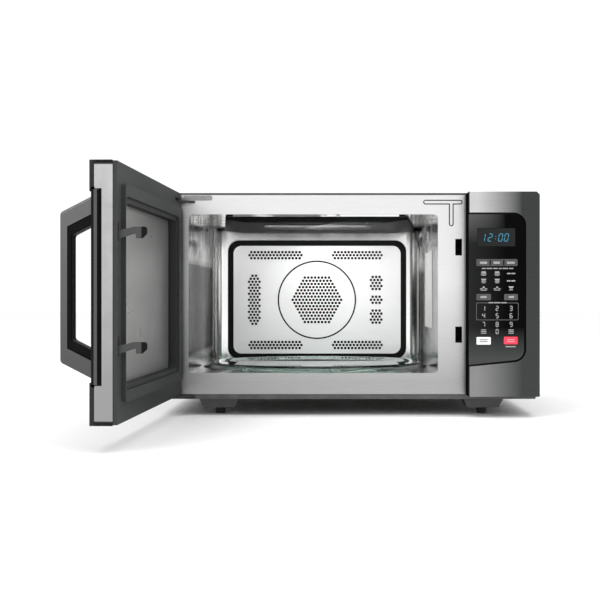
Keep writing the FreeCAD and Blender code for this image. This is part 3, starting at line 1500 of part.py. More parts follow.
def latch_board():
    """The moulding behind the slots, with a window for each hook and a seat for each switch."""
    piece = Piece("latch_board")
    left, right, rear = d.board_box_left, d.board_box_right, d.board_box_rear
    front = d.plate + 0.1
    low, high = d.lower_slot_low - 14, d.upper_slot_high + 12
    piece.pad("y", front, rear, rectangle(left, right, low, high))
    piece.pocket(
        "y",
        front - PAST,
        rear + PAST,
        rectangle(left + 2.5, right - 2.5, d.lower_slot_low - 3, d.lower_slot_high + 4),
        rectangle(left + 2.5, right - 2.5, d.upper_slot_low - 3, d.upper_slot_high + 4),
        rectangle(left + 2.5, right - 2.5, d.lower_slot_high + 12, d.upper_slot_low - 12),
    )
    for step in (sized(0), d.hook_step):
        top = d.hook_bottom + step - d.keeper_gap
        ledge = rectangle(left + 2, right - 2, top - d.keeper_tall, top)
        piece.pad("y", front + 2, d.barb_front + d.pivot_y - 1, ledge)
    place(piece.body)


def plunger_levels():
    return [d.plunger_z, d.plunger_z + d.hook_step]


def interlock_switches():
    made = []
    x, half, tall = d.plunger_x, d.switch_half, d.switch_tall
    front = d.board_box_rear
    for z in plunger_levels():
        body = block(x - half, x + half, front, front + d.switch_deep, z - tall, z + tall)
        tags = [
            block(x - 3, x + 3, front + d.switch_deep, front + d.switch_deep + 7, z + up - 0.4, z + up + 0.4)
            for up in (-10, 0, 10)
        ]
        bore = rod("y", x, front - PAST, z, d.plunger_radius + 0.08, 10)
        made.append(cut("switch", fuse("switch_body", body, *tags), bore))
    z = d.plunger_z + d.hook_step
    monitor = block(x - 3 * half - 0.5, x - half - 0.5, front, front + d.switch_deep, z - tall, z + tall)
    made.append(monitor)
    place(group("interlock_switches", made))


def switch_plungers():
    made = []
    for z in plunger_levels():
        stem = rod("y", d.plunger_x, d.plunger_y, z, d.plunger_radius, d.plunger_long)
        made.append(fuse("plunger", stem, rod("y", d.plunger_x, d.plunger_y, z, 3, 2)))
    place(group("switch_plungers", made))


# ---- hinges ----------------------------------------------------------------------------------------


def hinge_arm(piece, low, foot):
    """The arm that carries the pin, level with the door's edge, and its foot against the cabinet."""
    x, y, reach, high = d.pivot_x, d.pivot_y, d.eye_radius, low + d.arm_thick
    piece.pad("z", low, high, circle(x, y, reach))
    piece.pad(
        "z",
        low,
        high,
        polygon(
            (x - reach * 0.6, y + reach * 0.7), (x + reach * 0.6, y - reach * 0.7),
            (d.bracket_right, -d.bracket_thick), (d.bracket_right, foot), (d.bracket_left, foot),
            (d.bracket_left, -d.bracket_thick - 2),
        ),
    )


def bore_arm(piece, low):
    hole = circle(d.pivot_x, d.pivot_y, d.pin_radius + d.running_gap)
    piece.pocket("z", low - PAST, low + d.arm_thick + PAST, hole)


def upper_hinge():
    """The arm, with a round-ended bar riveted to the front plate that dips towards the arm."""
    piece = Piece("upper_hinge")
    thick, low, high = d.bracket_thick, d.bar_low, d.bar_high
    hinge_arm(piece, d.arm_low, sized(0))
    piece.pad("z", d.arm_low, high, rectangle(d.bracket_left, d.bracket_right, -thick, 0))
    left, right = d.bar_left, d.bar_right
    dip = low - d.bar_dip
    bar = polygon(
        (left, dip), (left + 7, dip), (left + 16, low), (right, low), (right, high),
        (left + 12, high), (left, dip + 5),
    )
    piece.pad("y", -thick, sized(0), bar)
    piece.soften(sized(3.4), "y", (right, low), (right, high))
    bore_arm(piece, d.arm_low)
    place(piece.body)


def lower_hinge():
    """The same arm under the door's foot, with a flange against the front of the base."""
    piece = Piece("lower_hinge")
    front = sized(0.2)
    hinge_arm(piece, d.foot_arm_low, front)
    flange = rectangle(d.bracket_left, d.bracket_right, -d.bracket_thick, front)
    piece.pad("z", d.base_bottom + 0.5, d.foot_arm_low + d.arm_thick, flange)
    bore_arm(piece, d.foot_arm_low)
    place(piece.body)


def pan_head(axis, x, y, z):
    """The head of one of the identical sheet-metal screws."""
    return rod(axis, x, y, z, d.screw_head, 2)


def sheet_screws():
    """The screws round the rear panel and those that hold the transformer down."""
    across = d.half_width - 12
    made = [pan_head("y", x, d.rear_face, d.height - 14) for x in (-across, sized(-90), sized(90), across)]
    made += [pan_head("y", x, d.rear_face, z) for x in (-across, across) for z in (sized(42), sized(170))]
    flange = d.base_bottom + d.sheet + d.foot_plate
    reach = d.screw_head + 1
    made += [
        pan_head("z", x, y, flange)
        for x in (d.core_left - reach, d.core_right + reach)
        for y in (d.core_front + 8, d.core_rear - 8)
    ]
    place(group("sheet_screws", made))


def build():
    outer_cover()
    rear_panel()
    cord_gland()
    base_plate()
    feet()
    front_plate()
    cavity_wrapper()
    cavity_floor()
    fan_baffle()
    convection_housing()
    convection_heater()
    convection_fan()
    convection_motor()
    grill_guard()
    guard_clips()
    grill_reflector()
    grill_heater()
    waveguide()
    waveguide_cover()
    magnetron()
    transformer()
    capacitor()
    diode()
    filter_board()
    air_duct()
    cooling_fan()
    cooling_motor()
    cavity_lamp()
    thermal_cutouts()
    glass_tray()
    turntable_coupler()
    turntable_motor()
    roller_ring()
    for number in (1, 2, 3):
        roller(number)
    panel_frame()
    panel_insert()
    display_window()
    keypad_membrane()
    control_board()
    door_skin()
    door_glass()
    door_frame()
    hinge_pins()
    door_liner()
    door_screen()
    door_window()
    handle_shell()
    handle_insert()
    handle_screws()
    latch_hooks()
    latch_spring()
    latch_board()
    interlock_switches()
    switch_plungers()
    upper_hinge()
    lower_hinge()
    sheet_screws()


def check():
    """Stops before anything is written if an object failed or a cut removed nothing."""
    faults = [
        f"{thing.Label}: {thing.State}"
        for thing in doc.Objects
        if "Invalid" in thing.State or "Error" in thing.State
    ]
    for piece in pieces:
        if piece.Shape.isNull() or not piece.Shape.isValid() or not piece.Shape.Solids:
            faults.append(f"{piece.Label}: bad shape")
    for feature in checked_cuts:
        if feature.Shape.Volume > feature.BaseFeature.Shape.Volume - 1e-3:
            faults.append(f"{feature.Label} removes nothing")
    if faults:
        raise SystemExit("\n".join(faults))


def write():
    os.makedirs("parts", exist_ok=True)
    for piece in pieces:
        piece.Shape.exportStep(f"parts/{piece.Label}.step")


build()
doc.recompute()
check()
write()
print(len(pieces), "sub-parts")
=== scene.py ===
"""The looks of a countertop convection microwave oven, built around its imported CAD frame."""

import math

import bmesh
import bpy
from mathutils import Matrix, Vector


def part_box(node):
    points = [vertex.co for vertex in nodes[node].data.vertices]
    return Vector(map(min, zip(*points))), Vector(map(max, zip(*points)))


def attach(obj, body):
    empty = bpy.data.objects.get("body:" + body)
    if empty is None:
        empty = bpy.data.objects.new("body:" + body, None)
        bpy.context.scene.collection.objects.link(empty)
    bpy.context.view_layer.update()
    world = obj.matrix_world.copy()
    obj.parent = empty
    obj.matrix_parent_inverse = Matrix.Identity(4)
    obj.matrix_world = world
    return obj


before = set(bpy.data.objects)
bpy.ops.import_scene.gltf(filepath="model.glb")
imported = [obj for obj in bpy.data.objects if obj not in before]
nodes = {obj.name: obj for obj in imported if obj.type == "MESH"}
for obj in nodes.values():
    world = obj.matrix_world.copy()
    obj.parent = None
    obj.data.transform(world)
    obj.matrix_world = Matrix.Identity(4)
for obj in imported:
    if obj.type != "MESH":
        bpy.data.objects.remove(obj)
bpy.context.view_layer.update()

MM = 0.001

# ---- the frame that the pieces are drawn in, in millimetres ----------------------------------------

plate_low, plate_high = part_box("front_plate")
ROW_X = (plate_low.x + plate_high.x) / 2 / MM
CABINET = Matrix.Translation((ROW_X * MM, 0, 0)) @ Matrix.Scale(MM, 4)

# ---- materials -------------------------------------------------------------------------------------


class Shader:
    """A Principled material that is built up from procedural layers in object space."""

    def __init__(self, name, colour, metallic=0.0, roughness=0.5, **sockets):
        self.material = bpy.data.materials.new(name)
        self.material.use_nodes = True
        self.tree = self.material.node_tree
        self.principled = self.tree.nodes["Principled BSDF"]
        self.colour_source = None
        self.colour = (*colour, 1)
        self.roughness = roughness
        self.normal = None
        self.set("Base Color", self.colour)
        self.set("Metallic", metallic)
        self.set("Roughness", roughness)
        for socket, value in sockets.items():
            self.set(socket.replace("_", " "), value)
        self.place = self.node("ShaderNodeTexCoord").outputs["Object"]

    def set(self, socket, value):
        self.principled.inputs[socket].default_value = value

    def node(self, kind, **settings):
        made = self.tree.nodes.new(kind)
        for key, value in settings.items():
            setattr(made, key, value)
        return made

    def link(self, source, target):
        self.tree.links.new(source, target)

    def stretched(self, scale):
        mapping = self.node("ShaderNodeMapping")
        mapping.inputs["Scale"].default_value = scale
        self.link(self.place, mapping.inputs["Vector"])
        return mapping.outputs["Vector"]

    def noise(self, scale, detail=3.0, stretch=(1, 1, 1), distortion=0.0):
        noise = self.node("ShaderNodeTexNoise")
        noise.inputs["Scale"].default_value = scale
        noise.inputs["Detail"].default_value = detail
        noise.inputs["Distortion"].default_value = distortion
        self.link(self.stretched(stretch), noise.inputs["Vector"])
        return noise.outputs["Fac"]

    def mapped(self, value, low, high, start=0.3, stop=0.7):
        spread = self.node("ShaderNodeMapRange")
        spread.inputs["From Min"].default_value = start
        spread.inputs["From Max"].default_value = stop
        spread.inputs["To Min"].default_value = low
        spread.inputs["To Max"].default_value = high
        self.link(value, spread.inputs["Value"])
        return spread.outputs["Result"]

    def tint(self, factor, colour):
        """Mixes a colour in where the factor is high."""
        mix = self.node("ShaderNodeMix", data_type="RGBA")
        if self.colour_source is None:
            mix.inputs[6].default_value = self.colour
        else:
            self.link(self.colour_source, mix.inputs[6])
        mix.inputs[7].default_value = (*colour, 1)
        self.link(factor, mix.inputs[0])
        self.colour_source = mix.outputs[2]
        self.link(self.colour_source, self.principled.inputs["Base Color"])

    def vary_roughness(self, value, spread):
        low, high = max(0.0, self.roughness - spread), self.roughness + spread
        self.link(self.mapped(value, low, high), self.principled.inputs["Roughness"])

    def bump(self, value, strength, distance):
        bump = self.node("ShaderNodeBump")
        bump.inputs["Strength"].default_value = strength
        bump.inputs["Distance"].default_value = distance
        self.link(value, bump.inputs["Height"])
        if self.normal is not None:
            self.link(self.normal, bump.inputs["Normal"])
        self.normal = bump.outputs["Normal"]
        self.link(self.normal, self.principled.inputs["Normal"])

    def wear(self, colour, amount=0.6):
        """Rubs the colour off along convex edges, unevenly."""
        pointed = self.node("ShaderNodeNewGeometry").outputs["Pointiness"]
        edge = self.mapped(pointed, 0, amount, 0.52, 0.62)
        patches = self.mapped(self.noise(60, 4), 0.2, 1)
        self.tint(self.times(edge, patches), colour)

    def slope(self, axis, start, stop):
        """0 at start and 1 at stop along an axis, in cabinet millimetres."""
        parts = self.node("ShaderNodeSeparateXYZ")
        self.link(self.place, parts.inputs["Vector"])
        shift = ROW_X if axis == "X" else 0
        return self.mapped(parts.outputs[axis], 0, 1, (start + shift) * MM, (stop + shift) * MM)

    def combined(self, operation, first, second):
        joined = self.node("ShaderNodeMath", operation=operation)
        self.link(first, joined.inputs[0])
        self.link(second, joined.inputs[1])
        return joined.outputs[0]

    def times(self, *factors):
        """The product of several factors."""
        result = factors[0]
        for factor in factors[1:]:
            result = self.combined("MULTIPLY", result, factor)
        return result

    def either(self, first, second):
        """The greater of two factors."""
        return self.combined("MAXIMUM", first, second)

    def scaled(self, factor, amount):
        return self.mapped(factor, 0, amount, 0, 1)

    def dull(self, factor):
        """Takes the metal and the shine away where the factor is high."""
        for socket in ("Metallic", "Specular IOR Level"):
            full = self.principled.inputs[socket].default_value
            self.link(self.mapped(factor, full, 0, 0, 1), self.principled.inputs[socket])

    def between(self, axis, low, high, soft):
        """1 from low to high along an axis, falling to 0 over the soft distance on either side."""
        return self.times(self.slope(axis, low - soft, low), self.slope(axis, high + soft, high))


def grey(value):
    return (value, value, value)


def cabinet_x(x):
    """A cabinet x, in millimetres, as an object coordinate in metres."""
    return (x + ROW_X) * MM


def brushed(name, colour, roughness, along, grain):
    """Metal with fine lines along one axis: they vary its colour, its gloss and its surface."""
    shader = Shader(name, colour, 1.0, roughness)
    stretch = [1.0, 1.0, 1.0]
    stretch["XYZ".index(along)] = 0.012
    fine = shader.noise(1900, 2, stretch)
    coarse = shader.noise(420, 3, stretch)
    darker = tuple(c * (1 - 2.4 * grain) for c in colour)
    shader.tint(shader.mapped(coarse, 0, 0.75), darker)
    shader.tint(shader.mapped(fine, 0, 0.55), tuple(c * (1 - 3 * grain) for c in colour))
    shader.vary_roughness(fine, 0.07)
    shader.bump(fine, 0.10, 0.00004)
    shader.bump(shader.noise(9, 2), 0.05, 0.0006)
    return shader


def moulded(name, colour, roughness, grain=1500, depth=0.18):
    """Moulded plastic with a fine spark texture, faint flow marks and slightly rubbed edges."""
    shader = Shader(name, colour, 0.0, roughness)
    spark = shader.noise(grain, 2)
    shader.tint(shader.mapped(shader.noise(14, 3), 0, 0.35), tuple(c * 0.78 for c in colour))
    shader.vary_roughness(spark, 0.08)
    shader.bump(spark, depth, 0.00012)
    shader.wear(tuple(min(1, c * 1.6 + 0.03) for c in colour), 0.5)
    return shader


def sheet_metal(name, colour, roughness, spangle=70):
    """Plated sheet: faint crystals and smears."""
    shader = Shader(name, colour, 1.0, roughness)
    cells = shader.node("ShaderNodeTexVoronoi")
    cells.inputs["Scale"].default_value = spangle
    shader.link(shader.place, cells.inputs["Vector"])
    parts = shader.node("ShaderNodeSeparateColor")
    shader.link(cells.outputs["Color"], parts.inputs[0])
    shader.tint(shader.mapped(parts.outputs[0], 0, 0.5, 0, 1), tuple(c * 0.8 for c in colour))
    shader.vary_roughness(shader.noise(35, 4), 0.09)
    shader.bump(shader.noise(700, 2), 0.05, 0.00005)
    shader.wear(tuple(min(1, c * 1.25) for c in colour), 0.4)
    return shader


def enamelled(name, colour, roughness):
    """Baked paint with orange peel, worn a little at its edges."""
    shader = Shader(name, colour, 0.0, roughness)
    shader.set("Coat Weight", 0.25)
    shader.set("Coat Roughness", 0.2)
    shader.tint(shader.mapped(shader.noise(6, 2), 0, 0.4), tuple(c * 0.82 for c in colour))
    shader.vary_roughness(shader.noise(900, 2), 0.06)
    shader.bump(shader.noise(520, 2), 0.12, 0.0001)
    shader.wear(tuple(min(1, c * 2.2 + 0.05) for c in colour), 0.5)
    return shader


def glossy(name, colour, roughness, wavy=True, **sockets):
    """Polished glass or hard film with faint smears in its gloss."""
    shader = Shader(name, colour, 0.0, roughness, **sockets)
    shader.vary_roughness(shader.noise(9, 4, distortion=1.2), 0.03)
    shader.tint(shader.mapped(shader.noise(4, 2), 0, 0.3), tuple(c * 0.7 for c in colour))
    if wavy:
        shader.bump(shader.noise(5, 1), 0.03, 0.0004)
    return shader


def polished(name, colour, roughness):
    """Bright stainless sheet, slightly wavy, so that reflections stretch and break up."""
    shader = Shader(name, colour, 1.0, roughness)
    grain = shader.noise(1500, 2, (1, 1, 0.02))
    shader.tint(shader.mapped(grain, 0, 0.3), tuple(c * 0.88 for c in colour))
    shader.vary_roughness(shader.noise(30, 3), 0.04)
    shader.bump(shader.noise(11, 2, (1, 1, 0.35)), 0.12, 0.0022)
    shader.bump(grain, 0.04, 0.00003)
    return shader


# Where the finishes and the painted light and shade change, in cabinet millimetres.
PLATE_SHADE_HEIGHT = (200, 50)
PLATE_LEFT_SHADE = (-240, -257)
PLATE_RIGHT_SHADE = (169, 172.5)
PLATE_RECESS_SHADE = (0.1, 0.5)
LEFT_WALL = (-232.5, -233.8)
WALL_REFLECTION_BAND = (90, 222)
CAVITY_TOP = (215, 245)
BEFORE_REAR_WALL = (366, 350)
BAFFLE_SHADE_HEIGHT = (240, 60)
BAFFLE_CHANNEL_SHADE = (372.08, 372.35)
REAR_PANEL_INSIDE_SHADE = (447.9, 447.5)
HINGE_BEFORE_PLATE = (-1.4, -2.2)
LOWER_HINGE_LEVEL = (31, 30)
PANEL_REFLECTION_HEIGHT = (290, 85)
PANEL_REFLECTION_WIDTH = (186, 250)
PANEL_EDGE_SHADE = (174.4, 173.9)
PANEL_SIDE_SHADE = (173.2, 172.8)
PANEL_RECESS = (-36.7, -36.2)
SKIN_SHADE_HEIGHT = (300, 60)
SKIN_FREE_EDGE = (-448.5, -449.5)
SKIN_INSIDE_SHADE = (-286, -282)
HANDLE_SHADE_HEIGHT = (240, 100)
GLASS_FREE_EDGE = (-449, -450)
GLASS_HIGHLIGHT_LINE = (-284.6, -281.6)
WINDOW_SHADE_DEPTH = (-360, -60)
WINDOW_FOOT_SHADE = (160, 70)
LINER_RAISED_LIGHT = (-254, -249)
LINER_LIGHT_DEPTH = (-200, -420)
HOOK_TIP_SHADE = (-233.4, -232.6)
FRAME_SHADE_HEIGHT = (300, 80)
STRIP_ACROSS = (-147, 59)
STRIP_DEPTH = (60, 70)
INSERT_REFLECTION_LEFT = (226, 174)
INSERT_REFLECTION_TOP = (250, 292)
INSERT_REFLECTION_FOOT = (130, 84)
FRAME_TOP_GAP_SHADOW = (319.2, 320.4)
FRAME_FOOT_GAP_SHADOW = (36.3, 35.1)

cover_paint = enamelled("cover_paint", (0.030, 0.031, 0.031), 0.42)

front_steel = brushed("front_steel", grey(0.76), 0.33, "X", 0.02)
# Painted shade: the plate grows darker towards the bottom, away from the light above.
front_steel.tint(front_steel.slope("Z", *PLATE_SHADE_HEIGHT), grey(0.36))
left_shade = front_steel.slope("X", *PLATE_LEFT_SHADE)
front_steel.tint(front_steel.scaled(left_shade, 0.95), grey(0.02))
right_shade = front_steel.slope("X", *PLATE_RIGHT_SHADE)
front_steel.tint(front_steel.scaled(right_shade, 0.75), grey(0.05))
# Painted shade on the plate's faces that lie behind its front face.
front_steel.tint(front_steel.slope("Y", *PLATE_RECESS_SHADE), grey(0.04))

wall_steel = polished("wall_steel", (0.90, 0.895, 0.89), 0.16)
# Painted reflection: a dark, streaked, matte patch on the left wall stands for the dark things that the
# wall reflects.
reflection_streaks = wall_steel.mapped(wall_steel.noise(26, 4, (1.6, 1.0, 0.07), 0.6), 0, 1, 0.44, 0.60)
on_left = wall_steel.slope("X", *LEFT_WALL)
reflection_height_band = wall_steel.between("Z", *WALL_REFLECTION_BAND, 12)
painted_reflection = wall_steel.times(on_left, reflection_height_band)
wall_steel.tint(wall_steel.scaled(painted_reflection, 0.97), grey(0.008))
wall_steel.tint(wall_steel.scaled(wall_steel.times(painted_reflection, reflection_streaks), 0.85), grey(0.016))
# Darker, matte marks on the upper walls, in front of the rear wall.
upper_wall_noise = wall_steel.mapped(wall_steel.noise(15, 3, (0.8, 1.4, 1.0), 1.5), 0, 1, 0.50, 0.58)
near_top = wall_steel.slope("Z", *CAVITY_TOP)
upper_dark_marks = wall_steel.times(upper_wall_noise, near_top, wall_steel.slope("Y", *BEFORE_REAR_WALL))
wall_steel.tint(wall_steel.scaled(upper_dark_marks, 0.85), grey(0.06))
# The painted reflection and the upper marks lose their metal and shine.
wall_steel.dull(wall_steel.either(wall_steel.scaled(painted_reflection, 0.97), wall_steel.scaled(upper_dark_marks, 0.8)))

baffle_steel = brushed("baffle_steel", grey(0.98), 0.36, "X", 0.012)
# Painted shade: the baffle grows darker towards the bottom.
baffle_steel.tint(baffle_steel.slope("Z", *BAFFLE_SHADE_HEIGHT), grey(0.72))
baffle_steel.set("Metallic", 0.85)
# Painted shade: nearly black down in the channel, past its rim.
baffle_steel.tint(baffle_steel.slope("Y", *BAFFLE_CHANNEL_SHADE), grey(0.010))

zinc = sheet_metal("zinc", (0.60, 0.61, 0.62), 0.34)
rear_zinc = sheet_metal("rear_zinc", (0.60, 0.61, 0.62), 0.34)
# Painted shade: the rear panel's inner face, inside the cabinet, is dark and matte.
inner_side_shade = rear_zinc.slope("Y", *REAR_PANEL_INSIDE_SHADE)
rear_zinc.tint(rear_zinc.scaled(inner_side_shade, 0.95), grey(0.02))
rear_zinc.dull(rear_zinc.scaled(inner_side_shade, 0.9))
bright_zinc = sheet_metal("bright_zinc", grey(0.62), 0.26, 140)
hinge_steel = sheet_metal("hinge_steel", grey(0.36), 0.30, 140)
off_plate = hinge_steel.slope("Y", *HINGE_BEFORE_PLATE)
off_bar = hinge_steel.slope("Z", *LOWER_HINGE_LEVEL)
shaded = hinge_steel.either(off_plate, off_bar)
hinge_steel.tint(hinge_steel.scaled(shaded, 0.95), grey(0.02))
hinge_steel.dull(hinge_steel.scaled(shaded, 0.9))
aluminium = sheet_metal("aluminium", grey(0.78), 0.38, 30)
winding = sheet_metal("winding", (0.25, 0.22, 0.20), 0.5, 200)

panel_steel = brushed("panel_steel", grey(0.62), 0.32, "X", 0.045)
# Painted reflection: the brushed frame is lighter at its top left and darker towards the bottom and the
# right.
panel_steel.tint(panel_steel.slope("Z", *PANEL_REFLECTION_HEIGHT), grey(0.23))
panel_steel.tint(panel_steel.slope("X", *PANEL_REFLECTION_WIDTH), (0.048, 0.052, 0.050))
# Painted shade: a near-black, matte strip along the frame's edge beside the front plate.
edge_shade_strip = panel_steel.slope("X", *PANEL_EDGE_SHADE)
panel_steel.tint(panel_steel.scaled(edge_shade_strip, 0.98), grey(0.004))
# Painted shade on the frame's side face.
side_face_shade = panel_steel.slope("X", *PANEL_SIDE_SHADE)
panel_steel.tint(panel_steel.scaled(side_face_shade, 0.9), grey(0.045))
recess_shade = panel_steel.slope("Y", *PANEL_RECESS)
panel_steel.tint(panel_steel.scaled(recess_shade, 0.97), grey(0.003))
panel_steel.dull(edge_shade_strip)

skin_steel = brushed("skin_steel", (0.27, 0.27, 0.272), 0.30, "Y", 0.05)
# Painted shade: the skin grows darker towards the bottom.
skin_steel.tint(skin_steel.slope("Z", *SKIN_SHADE_HEIGHT), grey(0.15))
skin_steel.tint(skin_steel.slope("Y", *SKIN_FREE_EDGE), (0.030, 0.031, 0.031))
# Painted shade on the skin's inner part, in the gap next to the frame.
inner_lip_shade = skin_steel.slope("X", *SKIN_INSIDE_SHADE)
skin_steel.tint(skin_steel.scaled(inner_lip_shade, 0.9), grey(0.016))
handle_steel = brushed("handle_steel", grey(0.125), 0.34, "Z", 0.02)
# Painted shade: the handle grows darker towards the bottom.
handle_steel.tint(handle_steel.slope("Z", *HANDLE_SHADE_HEIGHT), grey(0.085))

black_glass = glossy("black_glass", (0.004, 0.004, 0.0045), 0.05, Specular_IOR_Level=0.45)
# Painted highlight: a pale line down the glass's free edge.
on_edge = black_glass.slope("Y", *GLASS_FREE_EDGE)
highlight_line = black_glass.between("X", *GLASS_HIGHLIGHT_LINE, 0.6)
black_glass.tint(black_glass.times(on_edge, highlight_line), grey(0.085))
black_glass.link(
    black_glass.mapped(on_edge, 0.45, 0.02, 0, 1), black_glass.principled.inputs["Specular IOR Level"]
)
film = glossy("film", (0.215, 0.215, 0.21), 0.30, wavy=False, Specular_IOR_Level=0.06)
# Painted shade: the film grows darker towards the hinge and towards its foot.
film.tint(film.slope("Y", *WINDOW_SHADE_DEPTH), (0.095, 0.096, 0.095))
film.tint(film.scaled(film.slope("Z", *WINDOW_FOOT_SHADE), 0.35), grey(0.11))
lens = glossy("lens", (0.016, 0.017, 0.017), 0.12, Specular_IOR_Level=0.08)
tray_glass = glossy(
    "tray_glass", (0.62, 0.84, 0.76), 0.03, Transmission_Weight=1.0, IOR=1.5, Specular_IOR_Level=0.6
)
liner_plastic = moulded("liner_plastic", (0.020, 0.0212, 0.0208), 0.55, 1500, 0.12)
liner_plastic.set("Specular IOR Level", 0.05)
# Painted light: the raised frame is lighter than the border, and the liner lightens towards the free
# edge.
raised_frame_light = liner_plastic.slope("X", *LINER_RAISED_LIGHT)
free_edge_light = liner_plastic.slope("Y", *LINER_LIGHT_DEPTH)
liner_plastic.tint(liner_plastic.scaled(raised_frame_light, 0.8), (0.034, 0.036, 0.0355))
liner_plastic.tint(liner_plastic.scaled(free_edge_light, 0.40), (0.070, 0.073, 0.072))
black_plastic = moulded("black_plastic", (0.0035, 0.0035, 0.0037), 0.5)
black_plastic.set("Specular IOR Level", 0.06)
hook_plastic = moulded("hook_plastic", (0.055, 0.057, 0.056), 0.5)
hook_plastic.set("Specular IOR Level", 0.10)
# Painted shade: the hooks' end faces are near black.
hook_plastic.tint(hook_plastic.slope("X", *HOOK_TIP_SHADE), grey(0.003))
white_plastic = moulded("white_plastic", (0.80, 0.80, 0.78), 0.45)
frame_paint = enamelled("frame_paint", grey(0.34), 0.55)
frame_paint.set("Coat Weight", 0.0)
frame_paint.set("Specular IOR Level", 0.2)
# Painted shade: the frame grows darker towards the bottom; painted shadow lines run along the gaps under
# the skin's top and foot lips.
frame_paint.tint(frame_paint.slope("Z", *FRAME_SHADE_HEIGHT), grey(0.24))
for gap_shadow in (FRAME_TOP_GAP_SHADOW, FRAME_FOOT_GAP_SHADOW):
    frame_paint.tint(frame_paint.slope("Z", *gap_shadow), grey(0.012))
guard_enamel = enamelled("guard_enamel", grey(0.0055), 0.55)
guard_enamel.set("Coat Weight", 0.0)
guard_enamel.set("Specular IOR Level", 0.06)
lit_strip = guard_enamel.times(
    guard_enamel.between("X", *STRIP_ACROSS, 12),
    guard_enamel.between("Y", *STRIP_DEPTH, 4),
)
guard_enamel.tint(guard_enamel.scaled(lit_strip, 0.7), grey(0.03))
screen_paint = enamelled("screen_paint", grey(0.02), 0.5)
heater_oxide = enamelled("heater_oxide", (0.05, 0.045, 0.04), 0.6)
scorched_steel = enamelled("scorched_steel", grey(0.010), 0.6)
scorched_steel.set("Coat Weight", 0.0)
scorched_steel.set("Specular IOR Level", 0.1)
rubber = moulded("rubber", grey(0.010), 0.75, 800, 0.3)
mica = moulded("mica", (0.20, 0.20, 0.195), 0.45, 300, 0.3)
laminate = moulded("laminate", (0.03, 0.16, 0.07), 0.4, 2500, 0.1)
lamp_glass = glossy("lamp_glass", (0.9, 0.88, 0.8), 0.2)

insert_glass = glossy("insert_glass", (0.0015, 0.0015, 0.0016), 0.16, Specular_IOR_Level=0.03)
# Painted reflection: the black glass is grey at its upper left and its foot, and black to the right.
left_reflection = insert_glass.slope("X", *INSERT_REFLECTION_LEFT)
top_reflection = insert_glass.slope("Z", *INSERT_REFLECTION_TOP)
foot_reflection = insert_glass.slope("Z", *INSERT_REFLECTION_FOOT)
insert_glass.tint(insert_glass.scaled(insert_glass.times(left_reflection, top_reflection), 0.95), grey(0.12))
insert_glass.tint(insert_glass.scaled(left_reflection, 0.40), (0.035, 0.036, 0.036))
insert_glass.tint(insert_glass.scaled(foot_reflection, 0.9), (0.058, 0.060, 0.060))

grey_print = moulded("grey_print", grey(0.034), 0.5, 3000, 0.05)
border_print = moulded("border_print", grey(0.085), 0.5, 3000, 0.05)
pale_print = moulded("pale_print", grey(0.26), 0.5, 3000, 0.05)
white_print = moulded("white_print", grey(0.86), 0.4, 3000, 0.05)
red_print = moulded("red_print", (0.78, 0.020, 0.050), 0.4, 3000, 0.05)
pink_print = moulded("pink_print", (0.86, 0.20, 0.25), 0.4, 3000, 0.05)
glow = Shader("glow", (0.01, 0.05, 0.07), 0.0, 0.5)
glow.set("Emission Color", (0.020, 0.22, 0.33, 1))
glow.set("Emission Strength", 0.95)
glow.tint(glow.mapped(glow.noise(900, 2), 0, 0.4), (0.005, 0.03, 0.04))

CARRIED = {
    cover_paint: ["outer_cover", "base_plate"],
    front_steel: ["front_plate"],
    wall_steel: ["cavity_wrapper", "cavity_floor"],
    baffle_steel: ["fan_baffle"],
    zinc: [
        "convection_motor", "grill_reflector", "waveguide", "cooling_motor",
        "lamp_housing", "turntable_motor", "hinge_pins", "latch_spring", "handle_screws",
    ],
    bright_zinc: ["sheet_screws"],
    hinge_steel: ["upper_hinge", "lower_hinge"],
    rear_zinc: ["rear_panel"],
    aluminium: ["magnetron", "hv_capacitor", "thermal_cutouts"],
    winding: ["hv_transformer"],
    panel_steel: ["panel_frame"],
    skin_steel: ["door_skin"],
    handle_steel: ["handle_shell"],
    black_glass: ["door_glass"],
    insert_glass: ["panel_insert"],
    film: ["door_window"],
    lens: ["display_window"],
    tray_glass: ["glass_tray"],
    liner_plastic: ["door_liner"],
    black_plastic: [
        "cord_gland", "guard_clips", "hv_diode", "handle_insert", "interlock_switches", "latch_board",
        "switch_plungers",
    ],
    hook_plastic: ["latch_hooks"],
    white_plastic: [
        "air_duct", "cooling_fan", "turntable_coupler", "roller_ring", "roller_1", "roller_2",
        "roller_3",
    ],
    frame_paint: ["door_frame"],
    guard_enamel: ["grill_guard"],
    screen_paint: ["door_screen"],
    heater_oxide: ["convection_heater", "grill_heater"],
    scorched_steel: ["convection_housing", "convection_fan"],
    rubber: ["feet"],
    mica: ["waveguide_cover"],
    laminate: ["control_board", "noise_filter_board"],
    lamp_glass: ["cavity_lamp"],
    grey_print: ["keypad_membrane"],
}

# Edge rounding, in millimetres, of the CAD nodes that are seen. At 0 a node is only welded and smoothed.
ROUNDING = {
    "front_plate": 0.35, "panel_frame": 1.0, "panel_insert": 0.5, "door_skin": 1.1, "door_glass": 0.5,
    "door_frame": 0.5, "door_liner": 1.0, "handle_shell": 1.4, "handle_insert": 1.4,
    "latch_hooks": 0.6, "upper_hinge": 0.4, "lower_hinge": 0.4, "grill_guard": 0.8, "guard_clips": 0.4,
    "feet": 1.2, "glass_tray": 0.7, "base_plate": 0.4, "rear_panel": 0.3, "cord_gland": 1.2,
    "sheet_screws": 0.7, "roller_1": 0.4, "roller_2": 0.4, "roller_3": 0.4, "roller_ring": 0.6,
    "display_window": 0.3, "turntable_coupler": 0.6, "fan_baffle": 0.0,
}


WELD_GAP = 0.02
BEVEL_ANGLE = 42
SPLIT_ANGLE = 38


